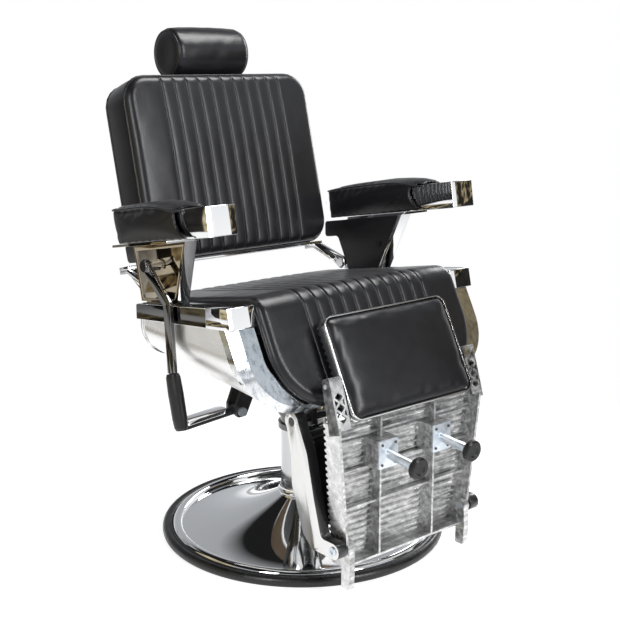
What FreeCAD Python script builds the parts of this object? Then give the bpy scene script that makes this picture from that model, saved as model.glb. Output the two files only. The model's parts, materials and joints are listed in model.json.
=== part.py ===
import FreeCAD, Part
import math
import os

# Hydraulic barber chair, in millimetres.
# The origin is the centre of the base's underside, on the floor. +Z is up and the chair faces -Y,
# so the sitter's right hand is on the -X side, where both levers are.
# Each sub-part is one function, and the export list at the end gives it its name.

V = FreeCAD.Vector

# Clearances
rest_gap = 0.3          # between a curved or soft face and what carries it
slide_gap = 0.4         # round a flat slider
pin_gap = 0.06          # radial, round a turning pin or sliding ram

# Base
base_radius = 325.0
rim_width = 22.0
rim_height = 20.0
rim_round = 7.0
plate_thickness = 8.0
plate_hub_radius = 30.0
cover_thickness = 2.5
cover_lip_width = 25.0
cover_lip_height = 25.0
cover_groove_width = 7.0
cover_groove_height = 14.0
cover_mid_radius = 150.0
cover_mid_height = 40.0
cover_top_height = 86.0

# Pump
sleeve_radius = 50.0
sleeve_wall = 2.5
sleeve_top = 240.0
foot_ring_width = 8.0
foot_ring_height = 15.0
foot_ring_edge = 3.0
cylinder_wall = 5.0
cylinder_floor = 12.0
gland_height = 10.0
ram_radius = 30.0
ram_floor_gap = 4.0
collar_gap = 0.6
collar_height = 45.0
collar_flange_radius = 56.0
collar_waist_radius = 51.0
collar_flange_height = 13.0
collar_cap = 20.0
spigot_radius = 18.0
spigot_height = 40.0
bearing_height = 6.0
bearing_inner_radius = 22.0
bearing_outer_radius = 46.0
bearing_gap = 0.2

# Seat rails: their top plane passes at this height over the origin and rises to the front
seat_tilt = 7.75
rail_top_height = 569.0
rail_rear = 151.0
rail_inner = 274.0
rail_width = 63.0
rail_rear_height = 34.0
rail_front_height = 42.0
rail_wall = 6.0
cap_front = -187.0
cap_length = 72.0
cap_proud = 1.2
cap_face_lean = 13.0

# Tub: a shell with a round-cornered U section, deeper at the front
tub_half_width = 333.7
tub_wall = 2.5
tub_front_bottom = rail_top_height - 180.0
tub_front_bottom_y = -279.0
tub_bottom_slope = 6.2
tub_corner_front = 112.0
tub_corner_rear = 72.0
tub_rear_round = 26.0
tub_loft_front = -340.0
front_lean = 28.0
front_top_y = -199.0
front_top_z = rail_top_height - 18.0
rim_plate = 4.0
rim_face = 37.0
rim_skin = 3.0
rim_front = 0.0
rim_bevel_rear = 18.0
rim_bevel_inset = 18.0
rim_rear = 38.0
trim_band = 22.0
front_board_depth = 19.0
front_board_thickness = 6.0

# Seat cushion, sewn in channels that run over its nose
cushion_tilt = 10.0
cushion_above_rail = 9.5
cushion_top_height = rail_top_height + cushion_above_rail
cushion_thickness = 75.0
cushion_rear = 222.0
cushion_half_width = 272.0
cushion_edge_drop = 16.0
nose_radius = 46.0
apron_proud = 22.0
apron_corner = 114.0
apron_lift = 14.0
apron_edge_round = 6.0
channel_pitch = 33.0
channel_count = 10
channel_depth = 4.0
channel_shoulder = 9.0
board_thickness = 15.0
board_front = -140.0

# Arms
arm_tilt = 9.5
arm_inner = 288.0
arm_splay = 5.5
arm_thickness = 30.0
arm_panel_thickness = 15.0
arm_bar = 9.0
arm_front_top_y = -18.0
arm_front_bottom_y = 40.0
arm_rear_top_y = 192.0
arm_rear_bottom_y = 184.0
arm_under_pad = 59.5
arm_plate_thickness = 3.0
arm_shelf_thickness = 5.0
panel_ear_y = 256.0
panel_ear_depth = 38.0
block_front_y = -162.0
block_top_z = rail_top_height + 222.7
block_length = 150.0
block_height = 59.0
block_inner = 298.0
block_width = 67.0
block_wall = 3.0
pad_inner = 290.0
pad_width = 85.0
pad_inner_length = 432.0
pad_outer_length = 338.0
pad_rear_lean = 18.0
pad_rear_round = 10.0
pad_inner_front = 120.0
pad_outer_front = 97.0
pad_edge_height = 14.0
pad_crown_height = 20.0
pad_side_bulge = 3.0
tongue_tip = 70.0
scoop_radius = 46.0
scoop_drop = 12.0
scoop_outer = 49.0
scoop_inner = 80.0
button_radius = 7.0
button_height = 3.0

# Back and headrest
back_tilt = 14.1
back_front_y = 206.0
back_bottom_z = rail_top_height + 53.4
back_height = 415.0
back_half_width = 256.0
back_corner = 56.0
back_cushion_depth = 84.0
back_crown = 11.0
back_panel_depth = 32.0
back_panel_inset = 5.0
back_edge_round = 14.0
crossbar_depth = 40.0
crossbar_thickness = 8.0
crossbar_from_front = 66.0
strap_width = 28.0
strap_thickness = 8.0
lug_thickness = 8.0
lug_outer = 285.0
lug_radius = 16.0
pivot_y = 188.0
pivot_z = rail_top_height - 7.0
pivot_bolt_radius = 7.0
pillow_length = 202.0
pillow_radius = 61.0
pillow_end_radius = 56.0
pillow_end_round = 9.0
pillow_gap = 0.7
pillow_from_front = 58.7
bar_width = 40.0
bar_thickness = 10.0
bar_below_top = 190.0
bar_above_top = 52.0
socket_wall = 5.0
socket_length = 120.0

# Recline lever, at the sitter's right
lever_inner = 342.0
lever_thickness = 8.0
lever_width = 25.0
lever_pivot_y = 88.0
lever_pivot_z = rail_top_height + 71.0
lever_knee_y = 8.0
lever_knee_z = rail_top_height + 3.0
lever_neck_y = -2.0
lever_neck_z = rail_top_height - 141.0
grip_length = 118.0
grip_lean = 14.0
grip_depth = 38.0
grip_width = 30.0
lever_bolt_radius = 8.0

# Pump lever, under the tub at the sitter's right
pump_pivot_x = -186.0
pump_pivot_z = rail_top_height - 251.0
pump_rod_radius = 9.0
pump_rod_end = -320.0
pump_rod_drop = 10.0
pump_pad_inner = -216.0
pump_pad_width = 34.0
pump_pad_thickness = 9.0
pump_pin_radius = 6.0
pump_cheek = 8.0
pump_eye = 13.0
pump_foot_near = 20.0
pump_foot_far = 62.0

# Seat mount
mount_hub_radius = 50.0
mount_plate_half_width = 168.0
mount_plate_front = -50.0
mount_plate_rear = 120.0
mount_plate_thickness = 12.0
mount_rib_thickness = 12.0

# Legrest slide, carriage and arms
slide_rail_centre = 156.0
slide_rail_width = 30.0
slide_rail_height = 16.0
slide_rail_wall = 6.0
slide_rail_lip = 5.0
slide_rail_front = -232.0
slide_rail_rear = -62.0
slider_length = 130.0
slider_front = -228.0
shaft_y = -213.0
shaft_z = rail_top_height - 220.0
shaft_radius = 9.0
ear_radius = 18.0
leg_inner = 178.5
leg_thickness = 24.5
leg_eye_radius = 21.0
# The arm's outline, in shares of the way from the hinge, at (0, 0), to the shaft, at (1, 1)
leg_outline = ((1.154, 1.03), (1.015, 0.698), (0.992, 0.4255), (0.714, 0.0255), (0.498, -0.0766), (-0.027, -0.068),
               (-0.12, -0.0255), (-0.104, 0.0426), (0.019, 0.0723), (0.282, 0.068), (0.4517, 0.387),
               (0.6216, 0.7745), (0.838, 1.013))
cross_tube_y = shaft_y - 13.0
cross_tube_z = shaft_z - 31.0
cross_tube_radius = 10.0

# Footplate casting, folded up
hinge_y = -342.5
hinge_z = 114.0
hinge_pin_radius = 7.0
hinge_pin_inner = 158.0
hinge_head_radius = 10.0
hinge_head = 3.0
plate_top_z = rail_top_height - 196.0
plate_bottom_z = 68.0
plate_top_half = 203.0
plate_bottom_half = 170.0
plate_front_y = -357.0
plate_top_back_y = -312.0
plate_bottom_back_y = -298.0
plate_skin = 4.5
tread_pitch = 13.0
tread_depth = 5.5
flange_thickness = 6.0
rib_thickness = 5.0
rib_x = 76.0
rib_front_y = -342.0
cross_rib_shares = (0.38, 0.636, 0.875)
boss_width = 54.0
boss_height = 60.0
boss_share = 0.744
boss_z = plate_bottom_z + boss_share * (plate_top_z - plate_bottom_z)
boss_front_y = -361.0
tab_width = 14.0
tab_bottom_z = 26.0
tab_depth = 25.0
tab_front_y = -359.0
lattice_lean = 18.0
lattice_height = 97.0
lattice_width = 32.0
lattice_thickness = 6.0
lattice_flange_depth = 26.0
lattice_top_depth = 23.0
lattice_top_round = 8.0
lattice_rows = 3
lattice_end = 26.0
lattice_bar = 4.0

# Pegs on the footplate
peg_plate_thickness = 3.0
peg_plate_width = 52.0
peg_plate_height = 58.0
peg_tube_radius = 9.5
peg_droop = 4.5
peg_foot_radius = 22.5
peg_foot_thickness = 14.0
peg_screw_radius = 3.0
peg_screw_head = 2.0
peg_screw_inset = 8.0

# Calf pad in its tray, on the lattice arms
calf_lean = 28.0
calf_bottom_y = -367.0
calf_bottom_z = plate_top_z + 8.0
calf_height = 213.0
calf_half_width = 168.0
calf_corner = 22.0
calf_tray_depth = 22.0
calf_tray_wall = 3.0
calf_crown = 14.0
calf_pivot_up = 81.0
calf_pivot_back = 11.5
calf_pin_radius = 5.0
calf_swing_gap = 2.5

os.makedirs("parts", exist_ok=True)


# Geometry helpers

def tan(angle):
    return math.tan(math.radians(angle))


def cos(angle):
    return math.cos(math.radians(angle))


def sin(angle):
    return math.sin(math.radians(angle))


def rounded_wire(points, radii):
    """Closed wire of straight runs joined at each corner by a tangent arc, or sharp where its radius is 0."""
    starts, ends, mids = [], [], []
    count = len(points)
    for i, corner in enumerate(points):
        back = points[i - 1].sub(corner)
        ahead = points[(i + 1) % count].sub(corner)
        half = back.getAngle(ahead) / 2
        back.normalize()
        ahead.normalize()
        reach = radii[i] / math.tan(half)
        middle = back.add(ahead)
        if radii[i] > 0:
            middle.normalize()
        starts.append(corner.add(V(back).multiply(reach)))
        ends.append(corner.add(V(ahead).multiply(reach)))
        mids.append(corner.add(middle.multiply(radii[i] / math.sin(half) - radii[i])))
    edges = []
    for i in range(count):
        if radii[i] > 0:
            edges.append(Part.Arc(starts[i], mids[i], ends[i]).toShape())
        following = starts[(i + 1) % count]
        if ends[i].distanceToPoint(following) > 1e-6:
            edges.append(Part.LineSegment(ends[i], following).toShape())
    return Part.Wire(edges)


def corner_radii(points, radius):
    if isinstance(radius, (int, float)):
        return [radius] * len(points)
    return list(radius)


def side_prism(outline, x0, x1, radius=0.0):
    """Solid whose outline of (y, z) points, seen from the side, runs from x0 to x1."""
    points = [V(x0, y, z) for y, z in outline]
    face = Part.Face(rounded_wire(points, corner_radii(outline, radius)))
    return face.extrude(V(x1 - x0, 0, 0))


def front_prism(outline, y0, y1, radius=0.0):
    """Solid whose outline of (x, z) points, seen from the front, runs from y0 to y1."""
    points = [V(x, y0, z) for x, z in outline]
    face = Part.Face(rounded_wire(points, corner_radii(outline, radius)))
    return face.extrude(V(0, y1 - y0, 0))


def block(x0, x1, y0, y1, z0, z1):
    return Part.makeBox(x1 - x0, y1 - y0, z1 - z0, V(x0, y0, z0))


def rod_x(x0, x1, y, z, radius):
    """Cylinder along X."""
    return Part.makeCylinder(radius, x1 - x0, V(x0, y, z), V(1, 0, 0))


def rod_z(radius, z0, z1, x=0.0, y=0.0):
    """Upright cylinder."""
    return Part.makeCylinder(radius, z1 - z0, V(x, y, z0), V(0, 0, 1))


def turned(outline):
    """Solid of revolution about Z from a closed outline of (radius, z) points."""
    points = [V(r, 0, z) for r, z in outline]
    face = Part.Face(Part.makePolygon(points + points[:1]))
    return face.revolve(V(0, 0, 0), V(0, 0, 1), 360)


def leaned(shape, angle, y, z):
    """Lean an upright shape back about X through the origin, then carry it to (0, y, z)."""
    placed = shape.copy()
    lean = FreeCAD.Placement(V(0, y, z), FreeCAD.Rotation(V(1, 0, 0), -angle))
    placed.Placement = lean.multiply(placed.Placement)
    return placed


def mirrored(shape):
    """The same piece on the other side of the chair."""
    return shape.mirror(V(0, 0, 0), V(1, 0, 0))


def joined(shapes):
    """One solid from shapes that share faces or overlap."""
    whole = shapes[0].fuse(shapes[1:])
    return whole.removeSplitter()


def group(shapes):
    """Several separate solids under one name."""
    return Part.makeCompound(shapes)


# Base

def base_plate():
    disc = rod_z(base_radius - rim_width - rest_gap, 0, plate_thickness)
    hub = rod_z(plate_hub_radius, plate_thickness, plate_thickness + cylinder_floor)
    return joined([disc, hub])


def base_rubber_rim():
    inner = base_radius - rim_width
    points = [V(inner, 0, 0), V(base_radius, 0, 0), V(base_radius, 0, rim_height), V(inner, 0, rim_height)]
    face = Part.Face(rounded_wire(points, [0, rim_round / 2, rim_round, 0]))
    return face.revolve(V(0, 0, 0), V(0, 0, 1), 360)


def base_cover():
    """Spun cover: a rolled lip, a groove, then one hollow cone that sweeps up to the sleeve."""
    outer = base_radius - rim_width - rest_gap
    lip_in = outer - cover_lip_width
    cone_out = lip_in - cover_groove_width
    top_radius = sleeve_radius + rest_gap
    t = cover_thickness
    floor = plate_thickness

    def lip(inset):
        low = V(outer - inset, 0, floor)
        shoulder = V(outer - inset, 0, cover_lip_height * 0.6)
        crest = V(outer - cover_lip_width * 0.42, 0, cover_lip_height - inset)
        foot = V(lip_in + inset, 0, cover_groove_height - inset)
        return low, shoulder, crest, foot

    def cone(drop):
        foot = V(cone_out - drop, 0, cover_groove_height - drop)
        mid = V(cover_mid_radius, 0, cover_mid_height - drop)
        top = V(top_radius, 0, cover_top_height - drop * 1.6)
        return foot, mid, top

    low, shoulder, crest, foot = lip(0)
    cone_foot, cone_mid, cone_top = cone(0)
    low_in, shoulder_in, crest_in, foot_in = lip(t)
    cone_foot_in, cone_mid_in, cone_top_in = cone(t)
    edges = [
        Part.LineSegment(low, shoulder).toShape(),
        Part.Arc(shoulder, crest, foot).toShape(),
        Part.LineSegment(foot, cone_foot).toShape(),
        Part.Arc(cone_foot, cone_mid, cone_top).toShape(),
        Part.LineSegment(cone_top, cone_top_in).toShape(),
        Part.Arc(cone_top_in, cone_mid_in, cone_foot_in).toShape(),
        Part.LineSegment(cone_foot_in, foot_in).toShape(),
        Part.Arc(foot_in, crest_in, shoulder_in).toShape(),
        Part.LineSegment(shoulder_in, low_in).toShape(),
        Part.LineSegment(low_in, low).toShape(),
    ]
    return Part.Face(Part.Wire(edges)).revolve(V(0, 0, 0), V(0, 0, 1), 360)


# Pump

def pump_sleeve():
    bore = rod_z(sleeve_radius - sleeve_wall, plate_thickness, sleeve_top)
    return rod_z(sleeve_radius, plate_thickness, sleeve_top).cut(bore)


def sleeve_foot_ring():
    """Flared chrome ring that covers the hole where the sleeve enters the base."""
    inner = sleeve_radius + rest_gap
    outer = sleeve_radius + foot_ring_width
    low = cover_top_height + rest_gap
    top = low + foot_ring_height
    corner = V(outer, 0, low + foot_ring_edge)
    neck = V(inner + 2, 0, top)
    waist = V(inner + 4, 0, low + foot_ring_edge + foot_ring_height * 0.3)
    edges = [
        Part.LineSegment(V(inner, 0, low), V(outer, 0, low)).toShape(),
        Part.LineSegment(V(outer, 0, low), corner).toShape(),
        Part.Arc(corner, waist, neck).toShape(),
        Part.LineSegment(neck, V(inner, 0, top)).toShape(),
        Part.LineSegment(V(inner, 0, top), V(inner, 0, low)).toShape(),
    ]
    return Part.Face(Part.Wire(edges)).revolve(V(0, 0, 0), V(0, 0, 1), 360)


def pump_cylinder():
    """Oil cylinder that stands on the plate's hub, with its gland at the top."""
    bore = ram_radius + pin_gap
    outer = bore + cylinder_wall
    gland = sleeve_radius - sleeve_wall - rest_gap
    floor = plate_thickness + cylinder_floor
    top = sleeve_top - 1
    return turned([(bore, floor), (outer, floor), (outer, top - gland_height), (gland, top - gland_height),
                   (gland, top), (bore, top)])


def collar_bottom():
    return sleeve_top + collar_gap


def collar_top():
    return collar_bottom() + collar_height


def pump_ram():
    floor = plate_thickness + cylinder_floor + ram_floor_gap
    return rod_z(ram_radius, floor, collar_top() - collar_cap)


def pump_collar():
    """Stepped collar on the ram, with the spigot that the seat turns on."""
    low = collar_bottom()
    top = collar_top()
    flange = collar_flange_radius
    waist = collar_waist_radius
    body = turned([(0, low), (flange, low), (flange, low + collar_flange_height), (waist, low + collar_flange_height),
                   (waist, top - collar_flange_height), (flange, top - collar_flange_height),
                   (flange, top), (spigot_radius, top), (spigot_radius, top + spigot_height), (0, top + spigot_height)])
    socket = rod_z(ram_radius + rest_gap, low - 1, top - collar_cap)
    return body.cut(socket)


def swivel_bearing():
    low = collar_top()
    ring = rod_z(bearing_outer_radius, low, low + bearing_height)
    return ring.cut(rod_z(bearing_inner_radius, low - 1, low + bearing_height + 1))


# Planes of the seat

def rail_top(y):
    return rail_top_height - y * tan(seat_tilt)


def rail_bottom(y):
    front = rail_top(cap_front) - rail_front_height
    rear = rail_top(rail_rear) - rail_rear_height
    return rear + (front - rear) * (rail_rear - y) / (rail_rear - cap_front)


def tub_bottom(y):
    return tub_front_bottom + (y - tub_front_bottom_y) * tan(tub_bottom_slope)


def cushion_top(y):
    return cushion_top_height - y * tan(cushion_tilt)


def cushion_bottom(y):
    return cushion_top(y) - cushion_thickness / cos(cushion_tilt)


def front_y(z, forward=0.0):
    """Y of the leaning front plane of the tub at a height, or of a plane that far in front of it."""
    return front_top_y - (front_top_z - z) * tan(front_lean) - forward / cos(front_lean)


# Tub

def tub_solid(grow):
    """The tub's outer form, grown by an allowance, with its rounded rear lower edge and no front end."""
    wires = []
    rear = rail_rear + grow
    for y, corner in ((rear, tub_corner_rear), (tub_loft_front, tub_corner_front)):
        half = tub_half_width + grow
        top = rail_bottom(y)
        bottom = tub_bottom(y) - grow
        points = [V(-half, y, top), V(-half, y, bottom), V(half, y, bottom), V(half, y, top)]
        wires.append(rounded_wire(points, [0, corner + grow, corner + grow, 0]))
    whole = Part.makeLoft(wires, True, True)
    if tub_rear_round + grow < 1:
        return whole
    edges = []
    for edge in whole.Edges:
        box = edge.BoundBox
        if box.YMin > rear - 0.1 and box.ZMin < rail_bottom(rear) - 1:
            edges.append(edge)
    return whole.makeFillet(tub_rear_round + grow, edges)


def front_slab(near, far):
    """Everything between two depths behind the leaning front plane."""
    reach = 700.0
    return leaned(block(-reach, reach, near, far, -reach, reach), front_lean, front_top_y, front_top_z)


def board_bottom(y):
    return cushion_bottom(y) - rest_gap - board_thickness / cos(cushion_tilt)


def seat_notch():
    """Cut through the tub's rear wall that the seat board and cushion pass over."""
    outline = [(0, board_bottom(0) - rest_gap), (300, board_bottom(300) - rest_gap), (300, 700), (0, 700)]
    return side_prism(outline, -rail_inner, rail_inner)


def seat_shell():
    shell = tub_solid(0).cut(tub_solid(-tub_wall))
    return shell.common(front_slab(rim_bevel_rear + rest_gap, 900)).cut(seat_notch())


def tub_outline(grow, depth):
    """Outline of the grown tub in a plane a depth behind its leaning front plane."""
    normal = V(0, cos(front_lean), -sin(front_lean))
    start = V(0, front_top_y, front_top_z)
    return tub_solid(grow).slice(normal, normal.dot(start) + depth)[0]


def rim_form(grow):
    """The rim's outer form, grown by an allowance: it narrows towards its front face."""
    bevel = Part.makeLoft([tub_outline(grow - rim_bevel_inset, rim_front), tub_outline(grow, rim_bevel_rear)], True, True)
    return bevel.fuse(tub_solid(grow).common(front_slab(rim_bevel_rear, rim_rear)))


def front_rim():
    """Chrome band round the open front: a broad face, a bevelled side and a skirt that laps the tub."""
    skin = rim_form(rest_gap + rim_skin)
    skirt = skin.cut(rim_form(rest_gap)).common(front_slab(rim_front, rim_rear))
    face = skin.cut(tub_solid(rest_gap + rim_skin - rim_bevel_inset - rim_face))
    face = face.common(front_slab(rim_front, rim_front + rim_plate))
    return skirt.fuse(face)


def shell_rear_trim():
    """Band that laps the tub's rear edge."""
    skin = tub_solid(rest_gap + rim_skin).cut(tub_solid(rest_gap))
    band = skin.common(block(-400, 400, rail_rear - trim_band, rail_rear + 50, 300, 600))
    half = tub_half_width - trim_band
    low = tub_bottom(rail_rear) + trim_band
    corner = tub_corner_rear - trim_band / 2
    window = front_prism([(-half, 700), (-half, low), (half, low), (half, 700)], rail_rear, rail_rear + 50,
                         [0, corner, corner, 0])
    return band.cut(window).cut(seat_notch())


def front_board():
    """Black board that closes the tub's front behind the cushion's apron."""
    slab = front_slab(front_board_depth, front_board_depth + front_board_thickness)
    filled = tub_solid(-tub_wall - rest_gap).common(slab)
    above = side_prism([(-400, cushion_bottom(-400) - rest_gap), (200, cushion_bottom(200) - rest_gap), (200, 800),
                        (-400, 800)], -400, 400)
    return filled.cut(above)


# Rails

def side_rail():
    """Pressed channel, open below, that carries the arm and closes the tub's top edge."""
    front = cap_front + cap_length
    outer = side_prism([(rail_rear, rail_bottom(rail_rear)), (rail_rear, rail_top(rail_rear)),
                        (front, rail_top(front)), (front, rail_bottom(front))],
                       rail_inner, rail_inner + rail_width, [0, 6, 0, 0])
    wall = rail_wall
    inner = side_prism([(rail_rear - wall, rail_bottom(rail_rear) - 9), (rail_rear - wall, rail_top(rail_rear) - wall),
                        (front + wall, rail_top(front) - wall), (front + wall, rail_bottom(front) - 9)],
                       rail_inner + wall, rail_inner + rail_width - wall)
    return outer.cut(inner)


def rail_cap():
    """Square-ended chrome cap on the rail's front."""
    rear = cap_front + cap_length
    proud = cap_proud
    low_front = cap_front - rail_front_height * tan(cap_face_lean)
    outer = side_prism([(rear, rail_bottom(rear)), (rear, rail_top(rear) + proud),
                        (cap_front, rail_top(cap_front) + proud), (low_front, rail_bottom(low_front))],
                       rail_inner, rail_inner + rail_width + proud, [0, 0, 2, 2])
    wall = rail_wall
    inner = side_prism([(rear - wall, rail_bottom(rear) - 9), (rear - wall, rail_top(rear) - wall),
                        (cap_front + wall, rail_top(cap_front) - wall), (low_front + wall, rail_bottom(low_front) - 9)],
                       rail_inner + wall, rail_inner + rail_width - wall)
    return outer.cut(inner)


# Seat cushion

def channel_profile(x, edge_at):
    """How far the surface is drawn in at x: (seam depth, 0 to 1 share of the edge's fall)."""
    reach = channel_count * channel_pitch / 2
    drawn = 0.0
    if abs(x) <= reach + 0.1:
        from_seam = abs((abs(x) / channel_pitch + 0.5 * (channel_count % 2)) % 1.0)
        from_seam = min(from_seam, 1.0 - from_seam) * channel_pitch
        drawn = channel_depth if from_seam < 0.1 else 0.0
    fall = max(0.0, (abs(x) - reach) / (edge_at - reach)) ** 3
    return drawn, fall


def channel_stations(edge_at, extra):
    """Places across the width where a sewn cushion's section changes."""
    reach = channel_count * channel_pitch / 2
    stations = []
    for i in range(channel_count):
        seam = -reach + i * channel_pitch
        stations += [seam, seam + channel_shoulder, seam + channel_pitch - channel_shoulder]
    stations.append(reach)
    outer = [reach + channel_shoulder] + [reach + (edge_at - reach) * share for share in extra]
    return [-x for x in reversed(outer)] + stations + outer


def apron_bottom(x):
    """Height of the apron's lower edge across the width, following the rim's round corners."""
    flat = cushion_half_width + 2 - apron_corner
    past = max(0.0, abs(x) - flat)
    rise = apron_corner - math.sqrt(max(0.0, apron_corner ** 2 - past ** 2))
    level = tub_bottom(tub_front_bottom_y) + apron_lift
    return level + rise


def seat_section(x):
    """Side outline of the cushion at x: slab, nose and apron."""
    drawn, fall = channel_profile(x, cushion_half_width)
    low = drawn + fall * cushion_edge_drop
    proud = apron_proud - drawn - fall * cushion_edge_drop * 0.6
    back_proud = rest_gap + 0.2
    bottom = apron_bottom(x)

    def meet(height_of, forward):
        y = front_top_y
        for _ in range(30):
            y = front_y(height_of(y), forward)
        return y, height_of(y)

    def top(y):
        return cushion_top(y) - low

    nose = meet(top, proud)
    heel = meet(cushion_bottom, back_proud)
    outline = [(cushion_rear, cushion_bottom(cushion_rear)), (cushion_rear, top(cushion_rear)), nose,
               (front_y(bottom, proud), bottom), (front_y(bottom, back_proud), bottom), heel]
    radii = [0, 14, nose_radius, apron_edge_round, 0, 0]
    return rounded_wire([V(x, y, z) for y, z in outline], radii)


def seat_cushion():
    stations = channel_stations(cushion_half_width, (0.35, 0.6, 0.8, 0.92, 1.0))
    return Part.makeLoft([seat_section(x) for x in stations], True, True)


def seat_board():
    half = rail_inner - 2 * rest_gap
    rear = cushion_rear - 8
    outline = [(board_front, cushion_bottom(board_front) - rest_gap), (rear, cushion_bottom(rear) - rest_gap),
               (rear, board_bottom(rear)), (board_front, board_bottom(board_front))]
    return side_prism(outline, -half, half)


# Arms

def arm_up(y, drop):
    """Height at y of a plane that lies a distance under the arm's top plane."""
    return block_top_z - (y - block_front_y) * tan(arm_tilt) - drop / cos(arm_tilt)


def arm_outline(inset, taller=0.0):
    """Side outline of the arm frame, drawn in on all sides, and taller at its top and foot."""
    under = arm_under_pad + arm_shelf_thickness - taller
    top_front = (arm_front_top_y + inset * 1.3, arm_up(arm_front_top_y, under) - inset)
    top_rear = (arm_rear_top_y - inset, arm_up(arm_rear_top_y, under) - inset)
    low_rear = (arm_rear_bottom_y - inset, rail_top(arm_rear_bottom_y) + inset - taller)
    low_front = (arm_front_bottom_y + inset * 0.8, rail_top(arm_front_bottom_y) + inset - taller)
    return [top_front, top_rear, low_rear, low_front]


def splayed(shape):
    """Lean an upright part of the arm in towards the seat at its foot."""
    placed = shape.copy()
    placed.rotate(V(arm_inner, 0, arm_up(arm_front_top_y, arm_under_pad)), V(0, 1, 0), arm_splay)
    return placed


def between_shelf_and_rail(shape, gap):
    """Trim a part of the arm to the shelf above it and the rail below it."""
    under = arm_under_pad + arm_shelf_thickness + gap
    room = [(-100, rail_top(-100) + gap), (400, rail_top(400) + gap), (400, arm_up(400, under)), (-100, arm_up(-100, under))]
    return shape.common(side_prism(room, 200, 400))


def arm_frame():
    """Slanted front post, full width, with a narrower loop behind it and a shelf under the pad."""
    outer = arm_inner + arm_thickness
    loop_inner = arm_inner + arm_panel_thickness + rest_gap
    loop = side_prism(arm_outline(0, 4), loop_inner, outer)
    loop = loop.cut(side_prism(arm_outline(arm_bar), loop_inner - 1, outer + 1))
    (ty, tz), _, _, (by, bz) = arm_outline(0, 4)
    post = side_prism([(ty, tz), (ty + arm_bar * 1.1, tz), (by + arm_bar * 1.1, bz - arm_bar * 1.1 * tan(seat_tilt)),
                       (by, bz)], arm_inner, outer)
    front = arm_front_top_y - 6
    shelf_low = arm_under_pad + arm_shelf_thickness
    shelf = side_prism([(front, arm_up(front, arm_under_pad)), (arm_rear_top_y, arm_up(arm_rear_top_y, arm_under_pad)),
                        (arm_rear_top_y, arm_up(arm_rear_top_y, shelf_low)), (front, arm_up(front, shelf_low))],
                       loop_inner, block_inner + block_width)
    nose = side_prism([(front, arm_up(front, arm_under_pad)), (front + 24, arm_up(front + 24, arm_under_pad)),
                       (front + 24, arm_up(front + 24, shelf_low)), (front, arm_up(front, shelf_low))],
                      arm_inner, block_inner + block_width)
    window = side_prism(arm_outline(arm_bar), loop_inner - 1, outer + 1)
    upright = between_shelf_and_rail(splayed(joined([loop, post.cut(window)])), 0)
    return joined([upright, shelf, nose])


def arm_plate():
    """Chrome plate let into the frame's outer side."""
    outer = arm_inner + arm_thickness - 1
    return splayed(side_prism(arm_outline(arm_bar + rest_gap), outer - arm_plate_thickness, outer))


def arm_panel():
    """Upholstered inner panel: an ear that reaches back under the pad, and a core that fills the frame."""
    (ty, tz), (ry, rz), (ly, lz), (by, bz) = arm_outline(0)
    behind = arm_bar * 1.1 + rest_gap
    low_gap = 2.0
    ear_low = arm_up(panel_ear_y, arm_under_pad + arm_shelf_thickness + panel_ear_depth)
    ear_top = arm_up(panel_ear_y, arm_under_pad + arm_shelf_thickness)
    outline = [(ty + behind + 3, arm_up(ty + behind + 3, arm_under_pad + arm_shelf_thickness + rest_gap)),
               (panel_ear_y, ear_top - rest_gap), (panel_ear_y - 5, ear_low), (ry + 12, ear_low + 8),
               (ly - 32, lz + low_gap), (by + behind, rail_top(by + behind) + low_gap)]
    soft = side_prism(outline, arm_inner + 1, arm_inner + arm_panel_thickness, [3, 8, 8, 14, 6, 3])
    plate_back = arm_inner + arm_thickness - 1 - arm_plate_thickness
    core = side_prism(arm_outline(arm_bar + 2 * rest_gap), arm_inner + arm_panel_thickness, plate_back - rest_gap)
    return between_shelf_and_rail(splayed(joined([soft, core])), rest_gap)


def arm_button_place():
    y = (arm_front_top_y + arm_front_bottom_y) / 2 + 42
    return y, rail_top(y) + 62


def arm_button():
    y, z = arm_button_place()
    return splayed(rod_x(arm_inner + 1 - rest_gap - button_height, arm_inner + 1 - rest_gap, y, z, button_radius))


def arm_block():
    """Square chrome end of the arm, open at its rear where the pad covers it."""
    outline = [(0, -block_height), (block_length, -block_height), (block_length, 0), (0, 0)]
    body = side_prism(outline, block_inner, block_inner + block_width, [2, 0, 0, 2])
    wall = block_wall
    hollow = block(block_inner + wall, block_inner + block_width - wall, wall, block_length + 1,
                   wall - block_height, -wall)
    return leaned(body.cut(hollow), arm_tilt, block_front_y, block_top_z)


def pad_plan(rear_drop):
    """Plan outline of the arm pad: a rounded tongue in front and a slanting rear end."""
    inner = pad_inner - pad_side_bulge - 1
    outer = pad_inner + pad_width + pad_side_bulge + 1
    middle = pad_inner + pad_width / 2
    rear = [V(inner, pad_inner_length, 0), V(outer, pad_outer_length - rear_drop, 0)]
    edges = [
        Part.LineSegment(V(inner, pad_inner_front, 0), rear[0]).toShape(),
        Part.LineSegment(rear[0], rear[1]).toShape(),
        Part.LineSegment(rear[1], V(outer, pad_outer_front, 0)).toShape(),
        Part.Arc(V(outer, pad_outer_front, 0), V(middle, tongue_tip, 0), V(inner, pad_inner_front, 0)).toShape(),
    ]
    return Part.Wire(edges)


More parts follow.
